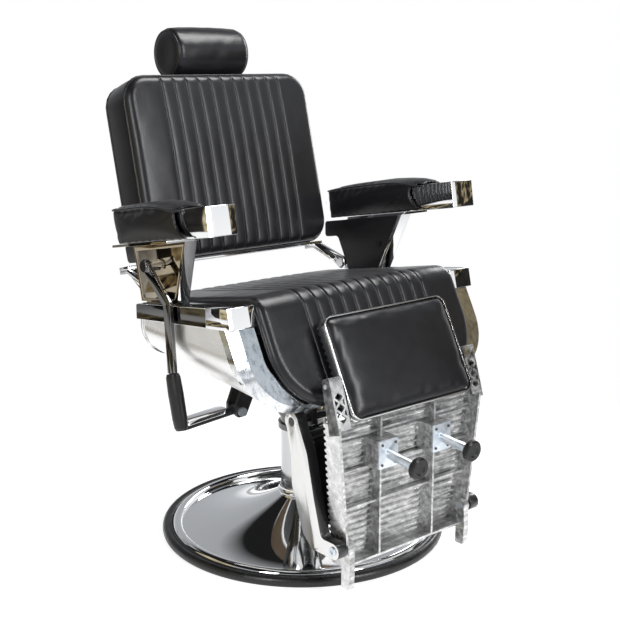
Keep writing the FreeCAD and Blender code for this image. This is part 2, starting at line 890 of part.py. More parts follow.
def pad_body():
    """Crowned leather body along the arm, before its front is shaped."""
    stations = ((0, -7, 0), (tongue_tip, -6, 3), (pad_outer_front, -3, 12), (pad_inner_front, 3, pad_crown_height - 3),
                (pad_inner_front + 40, pad_edge_height - 4, pad_crown_height),
                (pad_inner_front + 90, pad_edge_height, pad_crown_height + 1),
                (pad_outer_length, pad_edge_height, pad_crown_height),
                (pad_inner_length + 6, pad_edge_height - 4, pad_crown_height - 4))
    middle = pad_inner + pad_width / 2
    half = pad_width / 2
    low = -arm_under_pad
    wires = []
    for y, edge, crown in stations:
        points = [V(middle - half, y, low), V(middle - half - pad_side_bulge, y, (low + edge) / 2),
                  V(middle - half, y, edge), V(middle, y, crown), V(middle + half, y, edge),
                  V(middle + half + pad_side_bulge, y, (low + edge) / 2), V(middle + half, y, low)]
        wires.append(Part.Wire([
            Part.Arc(points[0], points[1], points[2]).toShape(),
            Part.Arc(points[2], points[3], points[4]).toShape(),
            Part.Arc(points[4], points[5], points[6]).toShape(),
            Part.LineSegment(points[6], points[0]).toShape(),
        ]))
    return Part.makeLoft(wires, True, True)


def arm_pad():
    """Leather pad that laps the end block: a tongue over its top and a scooped flap on each side of it."""
    low_plan = pad_plan(pad_rear_lean)
    low_plan.translate(V(0, 0, -arm_under_pad - 5))
    high_plan = pad_plan(0)
    high_plan.translate(V(0, 0, pad_crown_height + 10))
    body = pad_body()
    upper = body.common(Part.makeLoft([low_plan, high_plan], True, True))
    flaps = body.common(block(pad_inner - 10, pad_inner + pad_width + 10, 1, pad_inner_front + 2,
                              -arm_under_pad - 5, -rest_gap))
    start = V(pad_inner - 20, scoop_inner + (scoop_inner - scoop_outer) * 20 / pad_width, -scoop_drop)
    end = V(pad_inner + pad_width + 20, scoop_outer - (scoop_inner - scoop_outer) * 20 / pad_width, -scoop_drop)
    scoop = Part.makeCylinder(scoop_radius, start.distanceToPoint(end), start, end.sub(start))
    ahead = block(pad_inner - 20, pad_inner + pad_width + 20, -40, scoop_outer, -arm_under_pad - 6, 60)
    flaps = flaps.cut([scoop, ahead])
    under = block(pad_inner - 20, pad_inner + pad_width + 20, -40, pad_inner_front + 30, -arm_under_pad - 6, -rest_gap)
    pad = upper.cut(under.common(scoop)).fuse(flaps).removeSplitter()
    gap = rest_gap
    pocket = block(block_inner - gap, block_inner + block_width + gap, -1, block_length + gap,
                   -block_height - 20, gap)
    return leaned(pad.cut(pocket), arm_tilt, block_front_y, block_top_z)


# Back

def back_place(shape):
    return leaned(shape, back_tilt, back_front_y, back_bottom_z)


def back_ends(x, half, corner):
    """Lowest and highest point of the back's round-cornered outline at x."""
    past = max(0.0, abs(x) - (half - corner))
    rise = corner - math.sqrt(max(0.0, corner ** 2 - past ** 2))
    return rise, back_height - rise


def back_section(x):
    drawn, fall = channel_profile(x, back_half_width)
    low, high = back_ends(x, back_half_width + 4, back_corner)
    face = drawn + fall * 12
    rear = back_cushion_depth
    middle = (low + high) / 2
    soft = back_edge_round
    edges = [
        Part.LineSegment(V(x, rear, high), V(x, rear, low)).toShape(),
        Part.LineSegment(V(x, rear, low), V(x, face + soft, low)).toShape(),
        Part.Arc(V(x, face + soft, low), V(x, face + soft * 0.32, low + soft * 0.32),
                 V(x, face, low + soft)).toShape(),
        Part.Arc(V(x, face, low + soft), V(x, face - back_crown, middle), V(x, face, high - soft)).toShape(),
        Part.Arc(V(x, face, high - soft), V(x, face + soft * 0.32, high - soft * 0.32),
                 V(x, face + soft, high)).toShape(),
        Part.LineSegment(V(x, face + soft, high), V(x, rear, high)).toShape(),
    ]
    return Part.Wire(edges)


def back_cushion():
    stations = channel_stations(back_half_width, (0.35, 0.6, 0.8, 0.93, 1.0))
    return back_place(Part.makeLoft([back_section(x) for x in stations], True, True))


def bar_pocket(grow, low, high):
    """Space of the headrest bar, grown on all sides."""
    middle = back_cushion_depth + back_panel_depth / 2
    half = bar_width / 2 + grow
    thick = bar_thickness / 2 + grow
    return block(-half, half, middle - thick, middle + thick, low, high)


def back_panel():
    """Rear panel of the back, with a pocket for the headrest's socket."""
    half = back_half_width - back_panel_inset
    low = back_panel_inset
    high = back_height - back_panel_inset
    body = front_prism([(-half, low), (half, low), (half, high), (-half, high)], back_cushion_depth,
                       back_cushion_depth + back_panel_depth, back_corner - back_panel_inset)
    rear_edges = [edge for edge in body.Edges if edge.BoundBox.YMin > back_cushion_depth + back_panel_depth - 0.1]
    body = body.makeFillet(10, rear_edges)
    socket = bar_pocket(socket_wall + rest_gap, high - socket_length, back_height + 20)
    return back_place(body.cut(socket).cut(bar_pocket(slide_gap, back_height - bar_below_top - 5, back_height)))


def headrest_socket():
    high = back_height - back_panel_inset
    sleeve = bar_pocket(socket_wall, high - socket_length + rest_gap, high)
    return back_place(sleeve.cut(bar_pocket(slide_gap / 2, 0, back_height + 50)))


def back_crossbar():
    """Flat bar under the back's lower edge that the brackets are welded to."""
    near = crossbar_from_front
    bar = block(-lug_outer, lug_outer, near, near + crossbar_depth, -crossbar_thickness, 0)
    return back_place(bar)


def bracket_path():
    """Side view of the strap: from under the cross bar down and forward to the pivot."""
    lean = math.radians(back_tilt)

    def world(n, h):
        return (back_front_y + n * math.cos(lean) + h * math.sin(lean),
                back_bottom_z - n * math.sin(lean) + h * math.cos(lean))

    under = -crossbar_thickness
    front = world(crossbar_from_front, under)
    rear = world(crossbar_from_front + crossbar_depth, under)
    low_rear = world(crossbar_from_front + crossbar_depth, under - strap_thickness)
    low_front = world(crossbar_from_front + strap_thickness, under - strap_thickness)
    return front, rear, low_rear, low_front


def back_bracket():
    """Angled strap welded under the cross bar, with a lug for the pivot bolt."""
    front, rear, low_rear, low_front = bracket_path()
    along = math.atan2(front[1] - pivot_z, front[0] - pivot_y)
    side = (-math.sin(along), math.cos(along))
    toe = (pivot_y + lug_radius * 1.1 * math.cos(along), pivot_z + lug_radius * 1.1 * math.sin(along))
    half = strap_thickness / 2
    strap = [front, rear, low_rear, low_front,
             (toe[0] - side[0] * half, toe[1] - side[1] * half), (toe[0] + side[0] * half, toe[1] + side[1] * half)]
    broad = side_prism(strap, lug_outer - strap_width, lug_outer)
    lug = [(pivot_y - side[0] * lug_radius, pivot_z - side[1] * lug_radius),
           (front[0] - side[0] * half, front[1] - side[1] * half - 4),
           (front[0], front[1]),
           (pivot_y + side[0] * lug_radius, pivot_z + side[1] * lug_radius)]
    ear = side_prism(lug, lug_outer - lug_thickness, lug_outer)
    eye = rod_x(lug_outer - lug_thickness, lug_outer, pivot_y, pivot_z, lug_radius)
    hole = rod_x(lug_outer - strap_width - 1, lug_outer + 1, pivot_y, pivot_z, pivot_bolt_radius + pin_gap)
    return joined([broad, ear, eye]).cut(hole)


def recline_bolt():
    """Pivot bolt from the arm panel through the bracket's lug, with a round head inside."""
    inner = lug_outer - lug_thickness - rest_gap
    shank = rod_x(inner, arm_inner + 1 - rest_gap, pivot_y, pivot_z, pivot_bolt_radius)
    head = rod_x(inner - 4, inner, pivot_y, pivot_z, pivot_bolt_radius + 5)
    return joined([shank, head])


# Headrest

def pillow_form():
    """Round pillow along X, a little fuller in the middle, with rounded ends."""
    half = pillow_length / 2
    soft = pillow_end_round
    end = pillow_end_radius
    edges = [
        Part.LineSegment(V(-half, 0, 0), V(-half, 0, end - soft)).toShape(),
        Part.Arc(V(-half, 0, end - soft), V(-half + soft * 0.3, 0, end - soft * 0.3), V(-half + soft, 0, end)).toShape(),
        Part.Arc(V(-half + soft, 0, end), V(0, 0, pillow_radius), V(half - soft, 0, end)).toShape(),
        Part.Arc(V(half - soft, 0, end), V(half - soft * 0.3, 0, end - soft * 0.3), V(half, 0, end - soft)).toShape(),
        Part.LineSegment(V(half, 0, end - soft), V(half, 0, 0)).toShape(),
        Part.LineSegment(V(half, 0, 0), V(-half, 0, 0)).toShape(),
    ]
    body = Part.Face(Part.Wire(edges)).revolve(V(0, 0, 0), V(1, 0, 0), 360)
    body.translate(V(0, pillow_from_front, back_height + pillow_radius + pillow_gap))
    return back_place(body)


def headrest_bar():
    return back_place(bar_pocket(0, back_height - bar_below_top, back_height + bar_above_top))


def headrest_pillow():
    return pillow_form().cut(back_place(bar_pocket(rest_gap, 0, back_height + bar_above_top + rest_gap)))


# Recline lever

def lever_points():
    return [(lever_pivot_y, lever_pivot_z), (lever_knee_y, lever_knee_z), (lever_neck_y, lever_neck_z)]


def thick_path(points, width):
    """Outline of a strip that follows a bent centre line."""
    left, right = [], []
    for i, (y, z) in enumerate(points):
        before = points[max(0, i - 1)]
        after = points[min(len(points) - 1, i + 1)]
        turn_in = math.atan2(z - before[1], y - before[0]) if i > 0 else None
        turn_out = math.atan2(after[1] - z, after[0] - y) if i < len(points) - 1 else None
        if turn_in is None:
            turn_in = turn_out
        if turn_out is None:
            turn_out = turn_in
        middle = (turn_in + turn_out) / 2
        reach = width / 2 / math.cos((turn_out - turn_in) / 2)
        left.append((y - math.sin(middle) * reach, z + math.cos(middle) * reach))
        right.append((y + math.sin(middle) * reach, z - math.cos(middle) * reach))
    return left + right[::-1]


def recline_lever():
    """Cranked flat bar with a round eye at its pivot and a tang inside the grip."""
    x1 = -lever_inner
    x0 = x1 - lever_thickness
    bar = side_prism(thick_path(lever_points(), lever_width), x0, x1, [0, 6, 0, 0, 6, 0])
    eye = rod_x(x0, x1, lever_pivot_y, lever_pivot_z, lever_width / 2 + 2)
    tang_end = grip_end(0.7)
    tang = side_prism(thick_path([(lever_neck_y, lever_neck_z + 1), tang_end], lever_width * 0.6), x0, x1)
    hole = rod_x(x0 - 1, x1 + 1, lever_pivot_y, lever_pivot_z, lever_bolt_radius + pin_gap)
    return joined([bar, eye, tang]).cut(hole)


def grip_end(share):
    return (lever_neck_y - share * grip_length * sin(grip_lean), lever_neck_z - share * grip_length * cos(grip_lean))


def recline_grip():
    """Oval rubber grip, fuller in the middle, with a slot for the lever's tang."""
    centre = -lever_inner - lever_thickness / 2
    wires = []
    for share, scale in ((0.0, 0.78), (0.06, 0.93), (0.35, 1.0), (0.8, 0.97), (0.95, 0.88), (1.0, 0.7)):
        y, z = grip_end(share)
        ellipse = Part.Ellipse(V(0, 0, 0), grip_depth / 2 * scale, grip_width / 2 * scale)
        wire = Part.Wire([ellipse.toShape()])
        turn = FreeCAD.Rotation(V(0, 0, 1), 90)
        lean = FreeCAD.Rotation(V(1, 0, 0), -grip_lean)
        wire.Placement = FreeCAD.Placement(V(centre, y, z), lean.multiply(turn))
        wires.append(wire)
    grip = Part.makeLoft(wires, True, True)
    x1 = -lever_inner + rest_gap
    x0 = -lever_inner - lever_thickness - rest_gap
    slot_path = [(lever_neck_y, lever_neck_z + 20), (lever_neck_y, lever_neck_z), grip_end(0.72)]
    slot = side_prism(thick_path(slot_path, lever_width * 0.6 + 2 * rest_gap), x0, x1)
    end = side_prism(thick_path(lever_points(), lever_width + 2 * rest_gap), x0, x1)
    end.translate(V(0, 0, -rest_gap))
    return grip.cut(slot).cut(end)


def recline_lever_bolt():
    """Pivot bolt from the arm's plate through the lever's eye."""
    outer = -lever_inner - lever_thickness - rest_gap
    plate_shift = (arm_up(arm_front_top_y, arm_under_pad) - lever_pivot_z) * tan(arm_splay)
    root = -(arm_inner + (arm_thickness - 1) * cos(arm_splay) - plate_shift) - rest_gap - lever_bolt_radius * tan(arm_splay)
    shank = rod_x(outer, root, lever_pivot_y, lever_pivot_z, lever_bolt_radius)
    head = rod_x(outer - 4, outer, lever_pivot_y, lever_pivot_z, lever_bolt_radius + 4)
    spacer = rod_x(-lever_inner + rest_gap, root - 5, lever_pivot_y, lever_pivot_z, lever_bolt_radius + 4)
    return joined([shank, head, spacer])


# Seat mount and pump lever

def seat_mount():
    """Casting that turns on the collar's spigot and bolts to the tub's floor."""
    low = collar_top() + bearing_height + bearing_gap
    top_line = []
    for y, drop in ((mount_plate_front, 0), (mount_plate_rear, 0), (mount_plate_rear, mount_plate_thickness),
                    (mount_plate_front, mount_plate_thickness)):
        top_line.append((y, tub_bottom(y) - drop))
    plate = side_prism(top_line, -mount_plate_half_width, mount_plate_half_width)
    hub = rod_z(mount_hub_radius, low, tub_bottom(0) + 30)
    rib_low = low + 12
    cross = front_prism([(-mount_hub_radius, rib_low), (mount_hub_radius, rib_low),
                         (mount_plate_half_width - 14, tub_bottom(0) + 30), (14 - mount_plate_half_width, tub_bottom(0) + 30)],
                        -mount_rib_thickness / 2, mount_rib_thickness / 2)
    along = side_prism([(-mount_hub_radius, rib_low), (mount_hub_radius, rib_low), (mount_plate_rear - 10, tub_bottom(0) + 30),
                        (mount_plate_front + 10, tub_bottom(0) + 30)], -mount_rib_thickness / 2, mount_rib_thickness / 2)
    ceiling = side_prism([(-300, tub_bottom(-300)), (300, tub_bottom(300)), (300, 600), (-300, 600)], -300, 300)
    bore = rod_z(spigot_radius + pin_gap, low - 1, collar_top() + spigot_height + 2)
    return joined([plate, hub, cross, along]).cut(ceiling).cut(bore)


def pump_lever_bracket():
    """Two cheeks under the mount's plate that hold the pump lever's pin."""
    cheeks = []
    x = pump_pivot_x
    for side in (-1, 1):
        y0 = side * (pump_rod_radius + 2 + pump_cheek / 2) - pump_cheek / 2
        top = tub_bottom(y0) - mount_plate_thickness - 2
        outline = [(x - pump_eye, pump_pivot_z - pump_eye), (x + pump_eye, pump_pivot_z - pump_eye),
                   (x + pump_foot_far, top), (x + pump_foot_near, top), (x - pump_eye, pump_pivot_z + pump_eye)]
        cheeks.append(front_prism(outline, y0, y0 + pump_cheek, [8, 8, 0, 0, 8]))
    foot = block(x + pump_foot_near, x + pump_foot_far, -pump_rod_radius - 2 - pump_cheek, pump_rod_radius + 2 + pump_cheek,
                 tub_bottom(0) - mount_plate_thickness - 14, tub_bottom(0) - mount_plate_thickness + 10)
    ceiling = side_prism([(-300, tub_bottom(-300) - mount_plate_thickness), (300, tub_bottom(300) - mount_plate_thickness),
                          (300, 600), (-300, 600)], -300, 300)
    hole = Part.makeCylinder(pump_pin_radius + rest_gap, 80, V(x, -40, pump_pivot_z), V(0, 1, 0))
    return joined(cheeks + [foot]).cut(ceiling).cut(hole)


def pump_lever():
    """Round rod with a forged eye, falling a little towards its outer end."""
    x = pump_pivot_x
    rod = Part.makeCylinder(pump_rod_radius, math.hypot(pump_rod_end - x, pump_rod_drop), V(x, 0, pump_pivot_z),
                            V(pump_rod_end - x, 0, -pump_rod_drop))
    eye = Part.makeCylinder(pump_rod_radius + 4, 2 * pump_rod_radius + 2, V(x, -pump_rod_radius - 1, pump_pivot_z),
                            V(0, 1, 0))
    hole = Part.makeCylinder(pump_pin_radius + pin_gap, 80, V(x, -40, pump_pivot_z), V(0, 1, 0))
    return joined([rod, eye]).cut(hole)


def pump_lever_pad():
    """Flat foot pad on the rod, rounded at its inner end and hollowed to the rod below."""
    width = pump_pad_width / 2
    slope = pump_rod_drop / (pump_pivot_x - pump_rod_end)
    base = pump_rod_radius * 0.55
    outline = [V(pump_rod_end, -width, base), V(pump_pad_inner, -width, base), V(pump_pad_inner, width, base),
               V(pump_rod_end, width, base)]
    face = Part.Face(rounded_wire(outline, [4, width - 1, width - 1, 4]))
    pad = face.extrude(V(0, 0, pump_pad_thickness))
    pad = pad.cut(rod_along(pump_rod_radius + rest_gap))
    turn = FreeCAD.Placement(V(pump_pivot_x, 0, pump_pivot_z), FreeCAD.Rotation(V(0, 1, 0), -math.degrees(math.atan(slope))))
    away = FreeCAD.Placement(V(-pump_pivot_x, 0, 0), FreeCAD.Rotation())
    pad.Placement = turn.multiply(away)
    return pad


def rod_along(radius):
    return Part.makeCylinder(radius, 300, V(pump_rod_end - 50, 0, 0), V(1, 0, 0))


def pump_lever_pin():
    """Pin through the cheeks with a round knob on its front end."""
    reach = pump_rod_radius + 2 + pump_cheek
    shank = Part.makeCylinder(pump_pin_radius, 2 * reach + 4, V(pump_pivot_x, -reach - 2, pump_pivot_z), V(0, 1, 0))
    head = Part.makeCylinder(pump_pin_radius + 4, 6, V(pump_pivot_x, -reach - 7, pump_pivot_z), V(0, 1, 0))
    return joined([shank, head])


# Legrest slide and arms

def along_tub(y, drop):
    """Point a distance under the tub's floor plane, for slides that run along it."""
    return y, tub_bottom(y) - drop / cos(tub_bottom_slope)


def floor_bar(front, rear, near, far, x0, x1):
    """Bar under the tub's floor between two depths, from front to rear."""
    outline = [along_tub(front, near), along_tub(rear, near), along_tub(rear, far), along_tub(front, far)]
    return side_prism(outline, x0, x1)


def slide_rail():
    """Channel under the tub's floor with two lips that hold the slider."""
    half = slide_rail_width / 2
    x = slide_rail_centre
    body = floor_bar(slide_rail_front, slide_rail_rear, 0, slide_rail_height, x - half, x + half)
    wall = slide_rail_wall
    hollow = floor_bar(slide_rail_front - 9, slide_rail_rear + 9, wall, slide_rail_height - wall * 0.75,
                       x - half + wall * 0.75, x + half - wall * 0.75)
    mouth = floor_bar(slide_rail_front - 9, slide_rail_rear + 9, wall, slide_rail_height + 9,
                      x - half + slide_rail_lip + wall * 0.75, x + half - slide_rail_lip - wall * 0.75)
    return body.cut(hollow).cut(mouth)


def legrest_carriage():
    """Two sliders with ears that hold the cross shaft."""
    pieces = []
    wall = slide_rail_wall
    half = slide_rail_width / 2 - wall * 0.75 - slide_gap
    neck = slide_rail_width / 2 - slide_rail_lip - wall * 0.75 - slide_gap
    for side in (-1, 1):
        x = side * slide_rail_centre
        rear = slider_front + slider_length
        pieces.append(floor_bar(slider_front, rear, wall + slide_gap, slide_rail_height - wall * 0.75 - slide_gap,
                                x - half, x + half))
        pieces.append(floor_bar(slider_front, rear, wall + slide_gap, slide_rail_height + 5, x - neck, x + neck))
        ear_top = along_tub(shaft_y, slide_rail_height + 3)[1]
        pieces.append(block(x - neck, x + neck, shaft_y - ear_radius, shaft_y + ear_radius, shaft_z, ear_top))
        pieces.append(rod_x(x - neck, x + neck, shaft_y, shaft_z, ear_radius))
    end = leg_inner + leg_thickness
    pieces.append(rod_x(-end, end, shaft_y, shaft_z, shaft_radius))
    return joined(pieces)


def legrest_arm():
    """Polished J-shaped arm: an eye on the shaft, a tapering shank, and a foot that reaches forward to the hinge."""
    x0 = leg_inner
    x1 = leg_inner + leg_thickness
    outline = []
    for a, b in leg_outline:
        outline.append((hinge_y + a * (shaft_y - hinge_y), hinge_z + b * (shaft_z - hinge_z)))
    shank = side_prism(outline, x0, x1, [6, 60, 40, 30, 22, 8, 8, 8, 8, 14, 60, 60, 10])
    eye = rod_x(x0, x1, shaft_y, shaft_z, leg_eye_radius)
    foot = rod_x(x0, x1, hinge_y, hinge_z, 17)
    shaft_hole = rod_x(x0 - 1, x1 + 1, shaft_y, shaft_z, shaft_radius + pin_gap)
    pin_hole = rod_x(x0 - 1, x1 + 1, hinge_y, hinge_z, hinge_pin_radius + pin_gap)
    return joined([shank, eye, foot]).cut(shaft_hole).cut(pin_hole)


def legrest_cross_tube():
    tube = rod_x(-leg_inner, leg_inner, cross_tube_y, cross_tube_z, cross_tube_radius)
    return tube.cut(rod_x(-leg_inner - 1, leg_inner + 1, cross_tube_y, cross_tube_z, cross_tube_radius - 2.5))


def hinge_pin():
    """Pin from the outside through the arm's foot into the footplate's side, with a socket head."""
    outer = leg_inner + leg_thickness + rest_gap
    shank = rod_x(hinge_pin_inner, outer, hinge_y, hinge_z, hinge_pin_radius)
    head = rod_x(outer, outer + hinge_head, hinge_y, hinge_z, hinge_head_radius)
    corners = [(hinge_y + 5 * cos(60 * i), hinge_z + 5 * sin(60 * i)) for i in range(6)]
    socket = side_prism(corners, outer + 0.6, outer + hinge_head + 1)
    return joined([shank, head]).cut(socket)


# Footplate

def plate_half(z):
    share = (z - plate_bottom_z) / (plate_top_z - plate_bottom_z)
    return plate_bottom_half + (plate_top_half - plate_bottom_half) * share


def plate_back(z):
    share = (z - plate_bottom_z) / (plate_top_z - plate_bottom_z)
    return plate_bottom_back_y + (plate_top_back_y - plate_bottom_back_y) * share


def tread_outline():
    """Side outline of the corrugated plate: blunt ridges on the tread, followed by its underside."""
    rows = int((plate_top_z - plate_bottom_z) / tread_pitch)
    pitch = (plate_top_z - plate_bottom_z) / rows
    back, front = [], []
    for i in range(rows):
        z = plate_bottom_z + i * pitch
        for share, rise in ((0.0, 0.0), (0.25, 0.0), (0.45, 1.0), (0.8, 1.0)):
            height = z + share * pitch
            back.append((plate_back(height) - tread_depth * (1 - rise), height))
            front.append((plate_back(height) - tread_depth * (1 - rise) - plate_skin, height))
    back.append((plate_back(plate_top_z) - tread_depth, plate_top_z))
    front.append((plate_back(plate_top_z) - tread_depth - plate_skin, plate_top_z))
    return back + front[::-1]


def plate_envelope(inset):
    """Tapering front outline of the casting between its flanges' outer faces, drawn in sideways."""
    low = plate_bottom_half - inset
    high = plate_top_half - inset
    return front_prism([(-low, plate_bottom_z), (low, plate_bottom_z), (high, plate_top_z), (-high, plate_top_z)],
                       plate_front_y, plate_bottom_back_y + 20)


def side_flange():
    """Side wall of the casting, from its straight front edge to the tread's wavy edge."""
    tread = tread_outline()
    rows = len(tread) // 2
    outline = tread[:rows] + [(plate_front_y, plate_top_z), (plate_front_y + 5, plate_bottom_z)]
    wall = side_prism(outline, 100, 300)
    return wall.common(plate_envelope(0)).cut(plate_envelope(flange_thickness))


def lattice_arm():
    """Arm above the plate: a pierced front web of crossing bars, with an outer flange and a solid end."""
    outer = plate_top_half
    inner = outer - lattice_width
    web = block(inner, outer, 0, lattice_thickness, -6, lattice_height)
    profile = [(0, -14), (0, lattice_height), (lattice_top_depth, lattice_height), (lattice_flange_depth + 6, -14)]
    flange = side_prism(profile, outer - lattice_bar, outer, [0, 0, lattice_top_round, 0])
    end = block(inner, outer, 0, lattice_flange_depth, lattice_height - lattice_end, lattice_height)
    end = end.common(side_prism(profile, inner - 1, outer + 1, [0, 0, lattice_top_round, 0]))
    bar = lattice_bar
    left = inner + bar
    right = outer - bar
    middle = (left + right) / 2
    step = (lattice_height - lattice_end - 6) / lattice_rows
    holes = []
    for i in range(lattice_rows):
        low = 4 + i * step
        centre = low + step / 2
        half_high = step / 2 - bar / 2
        half_wide = (right - left) / 2
        holes.append(front_prism([(middle, centre - half_high), (middle + half_wide - bar / 2, centre),
                                  (middle, centre + half_high), (middle - half_wide + bar / 2, centre)],
                                 -1, lattice_thickness + 1))
        if i > 0:
            for side in (-1, 1):
                edge = middle + side * half_wide
                holes.append(front_prism([(edge, low - half_high + bar / 2), (edge, low + half_high - bar / 2),
                                          (edge - side * (half_wide - bar), low)], -1, lattice_thickness + 1))
    web = web.cut(holes)
    arm = joined([web, flange, end])
    return leaned(arm, lattice_lean, plate_front_y, plate_top_z)


def footplate():
    """Ribbed casting with a corrugated tread, side flanges, bosses for the pegs, lattice arms and heel tabs."""
    panel = side_prism(tread_outline(), -300, 300).common(plate_envelope(0))
    pieces = [panel]
    face = plate_bottom_back_y + 2
    skin_back = side_prism(tread_outline()[:len(tread_outline()) // 2]
                           + [(plate_front_y - 60, plate_top_z), (plate_front_y - 60, plate_bottom_z)], -300, 300)
    ribs = []
    for x in (-rib_x, rib_x):
        ribs.append(block(x - rib_thickness / 2, x + rib_thickness / 2, rib_front_y, face, plate_bottom_z, plate_top_z))
        ribs.append(block(x - boss_width / 2, x + boss_width / 2, boss_front_y, face, boss_z - boss_height / 2,
                          boss_z + boss_height / 2))
    reach = plate_top_half
    for share in cross_rib_shares:
        height = plate_bottom_z + share * (plate_top_z - plate_bottom_z)
        ribs.append(block(-reach, reach, rib_front_y + 14, face, height - rib_thickness / 2, height + rib_thickness / 2))
    ribs.append(block(-reach, reach, rib_front_y, face, plate_bottom_z, plate_bottom_z + rib_thickness))
    ribs.append(block(-reach, reach, rib_front_y + 6, face, plate_top_z - rib_thickness, plate_top_z))
    inside = plate_envelope_wide()
    for rib in ribs:
        pieces.append(rib.common(skin_back).common(inside))
    for side in (1, -1):
        flange = side_flange()
        arm = lattice_arm()
        hub_inner = hinge_pin_inner
        hub_outer = plate_half(hinge_z)
        hub = rod_x(hub_inner, hub_outer, hinge_y, hinge_z, 15)
        tab_inner = plate_bottom_half - tab_width + 3
        tab_rear_y = tab_front_y + tab_depth
        tab = side_prism([(tab_rear_y, hinge_z), (tab_rear_y, tab_bottom_z), (tab_front_y + 2, tab_bottom_z),
                          (tab_front_y, plate_bottom_z), (tab_front_y + 2, hinge_z)],
                         tab_inner, tab_inner + tab_width, [0, 3, 5, 0, 0])
        own = [flange, arm, hub, tab]
        pieces += own if side > 0 else [mirrored(piece) for piece in own]
    whole = joined(pieces)
    for side in (1, -1):
        lo, hi = sorted((side * (hinge_pin_inner - 1), side * (plate_top_half + 5)))
        whole = whole.cut(rod_x(lo, hi, hinge_y, hinge_z, hinge_pin_radius + pin_gap))
        pivot_y_at, pivot_z_at = calf_pivot()
        whole = whole.cut(rod_x(lo, hi, pivot_y_at, pivot_z_at, calf_pin_radius + pin_gap))
    swing = math.hypot(calf_pivot_up, calf_pivot_back + calf_crown * 0.15) + calf_swing_gap
    y, z = calf_pivot()
    return whole.cut(rod_x(-calf_half_width - 1, calf_half_width + 1, y, z, swing))


def plate_envelope_wide():
    """The casting's taper carried forward to the bosses."""
    low = plate_bottom_half
    high = plate_top_half
    return front_prism([(-low, plate_bottom_z), (low, plate_bottom_z), (high, plate_top_z), (-high, plate_top_z)],
                       boss_front_y - 5, plate_bottom_back_y + 20)


# Pegs

def peg_mount(x):
    """Zinc plate with its welded tube."""
    back = boss_front_y
    front = back - peg_plate_thickness
    w = peg_plate_width / 2
    h = peg_plate_height / 2
    plate = front_prism([(x - w, boss_z - h), (x + w, boss_z - h), (x + w, boss_z + h), (x - w, boss_z + h)],
                        front, back, 4)
    tube_end = peg_end_y() + peg_foot_thickness - 4
    tube = Part.makeCylinder(peg_tube_radius, back - tube_end, V(x, tube_end, boss_z), V(0, 1, 0))
    tube = drooped(tube).common(block(-300, 300, tube_end - 100, back - 1, boss_z - 100, boss_z + 100))
    return joined([plate, tube])


def drooped(shape):
    """Turn a part of a peg down about the middle of its plate."""
    placed = shape.copy()
    placed.rotate(V(0, boss_front_y, boss_z), V(1, 0, 0), peg_droop)
    return placed


def peg_end_y():
    """Front face of the rubber feet, whose lower edge meets the floor when the plate is folded right down."""
    return hinge_y - hinge_z + 0.5 + peg_foot_radius * sin(peg_droop)


def peg_foot(x):
    """Rubber foot with a rounded rim and a shallow dish."""
    y = peg_end_y()
    r = peg_foot_radius
    depth = peg_foot_thickness
    edges_at = [(0, 2), (r * 0.45, 2), (r * 0.55, 0), (r - 3, 0), (r, 3), (r, depth - 3), (r - 2, depth), (0, depth)]
    foot = turned(edges_at)
    foot.rotate(V(0, 0, 0), V(1, 0, 0), -90)
    foot.translate(V(x, y, boss_z))
    socket = Part.makeCylinder(peg_tube_radius + rest_gap, 30, V(x, y + depth - 4, boss_z), V(0, 1, 0))
    return drooped(foot.cut(socket))


def peg_screws():
    heads = []
    for centre in (-rib_x, rib_x):
        for dx in (-1, 1):
            for dz in (-1, 1):
                x = centre + dx * (peg_plate_width / 2 - peg_screw_inset)
                z = boss_z + dz * (peg_plate_height / 2 - peg_screw_inset)
                y = boss_front_y - peg_plate_thickness
                heads.append(Part.makeCylinder(peg_screw_radius, peg_screw_head, V(x, y - peg_screw_head, z),
                                               V(0, 1, 0)))
    return group(heads)


# Calf pad

def calf_place(shape):
    return leaned(shape, calf_lean, calf_bottom_y, calf_bottom_z)


def calf_pivot():
    lean = math.radians(calf_lean)
    return (calf_bottom_y + calf_pivot_up * math.sin(lean) + calf_pivot_back * math.cos(lean),
            calf_bottom_z + calf_pivot_up * math.cos(lean) - calf_pivot_back * math.sin(lean))


def calf_frame():
    """Aluminium tray with a corrugated back that serves as a tread, and two side lugs."""
    half = calf_half_width
    corners = [(-half, 0), (half, 0), (half, calf_height), (-half, calf_height)]
    body = front_prism(corners, 0, calf_tray_depth + tread_depth, calf_corner)
    wall = calf_tray_wall
    hollow = front_prism([(-half + wall, wall), (half - wall, wall), (half - wall, calf_height - wall),
                          (wall - half, calf_height - wall)], -1, calf_tray_depth - wall, calf_corner - wall)
    rows = int(calf_height / tread_pitch)
    pitch = calf_height / rows
    grooves = []
    for i in range(rows):
        z = (i + 0.2) * pitch
        deep = calf_tray_depth
        grooves.append(side_prism([(deep, z), (deep, z + pitch * 0.35), (deep + tread_depth + 1, z + pitch * 0.6),
                                   (deep + tread_depth + 1, z - pitch * 0.15)], -half - 5, half + 5))
    return calf_place(body.cut(hollow).cut(grooves))


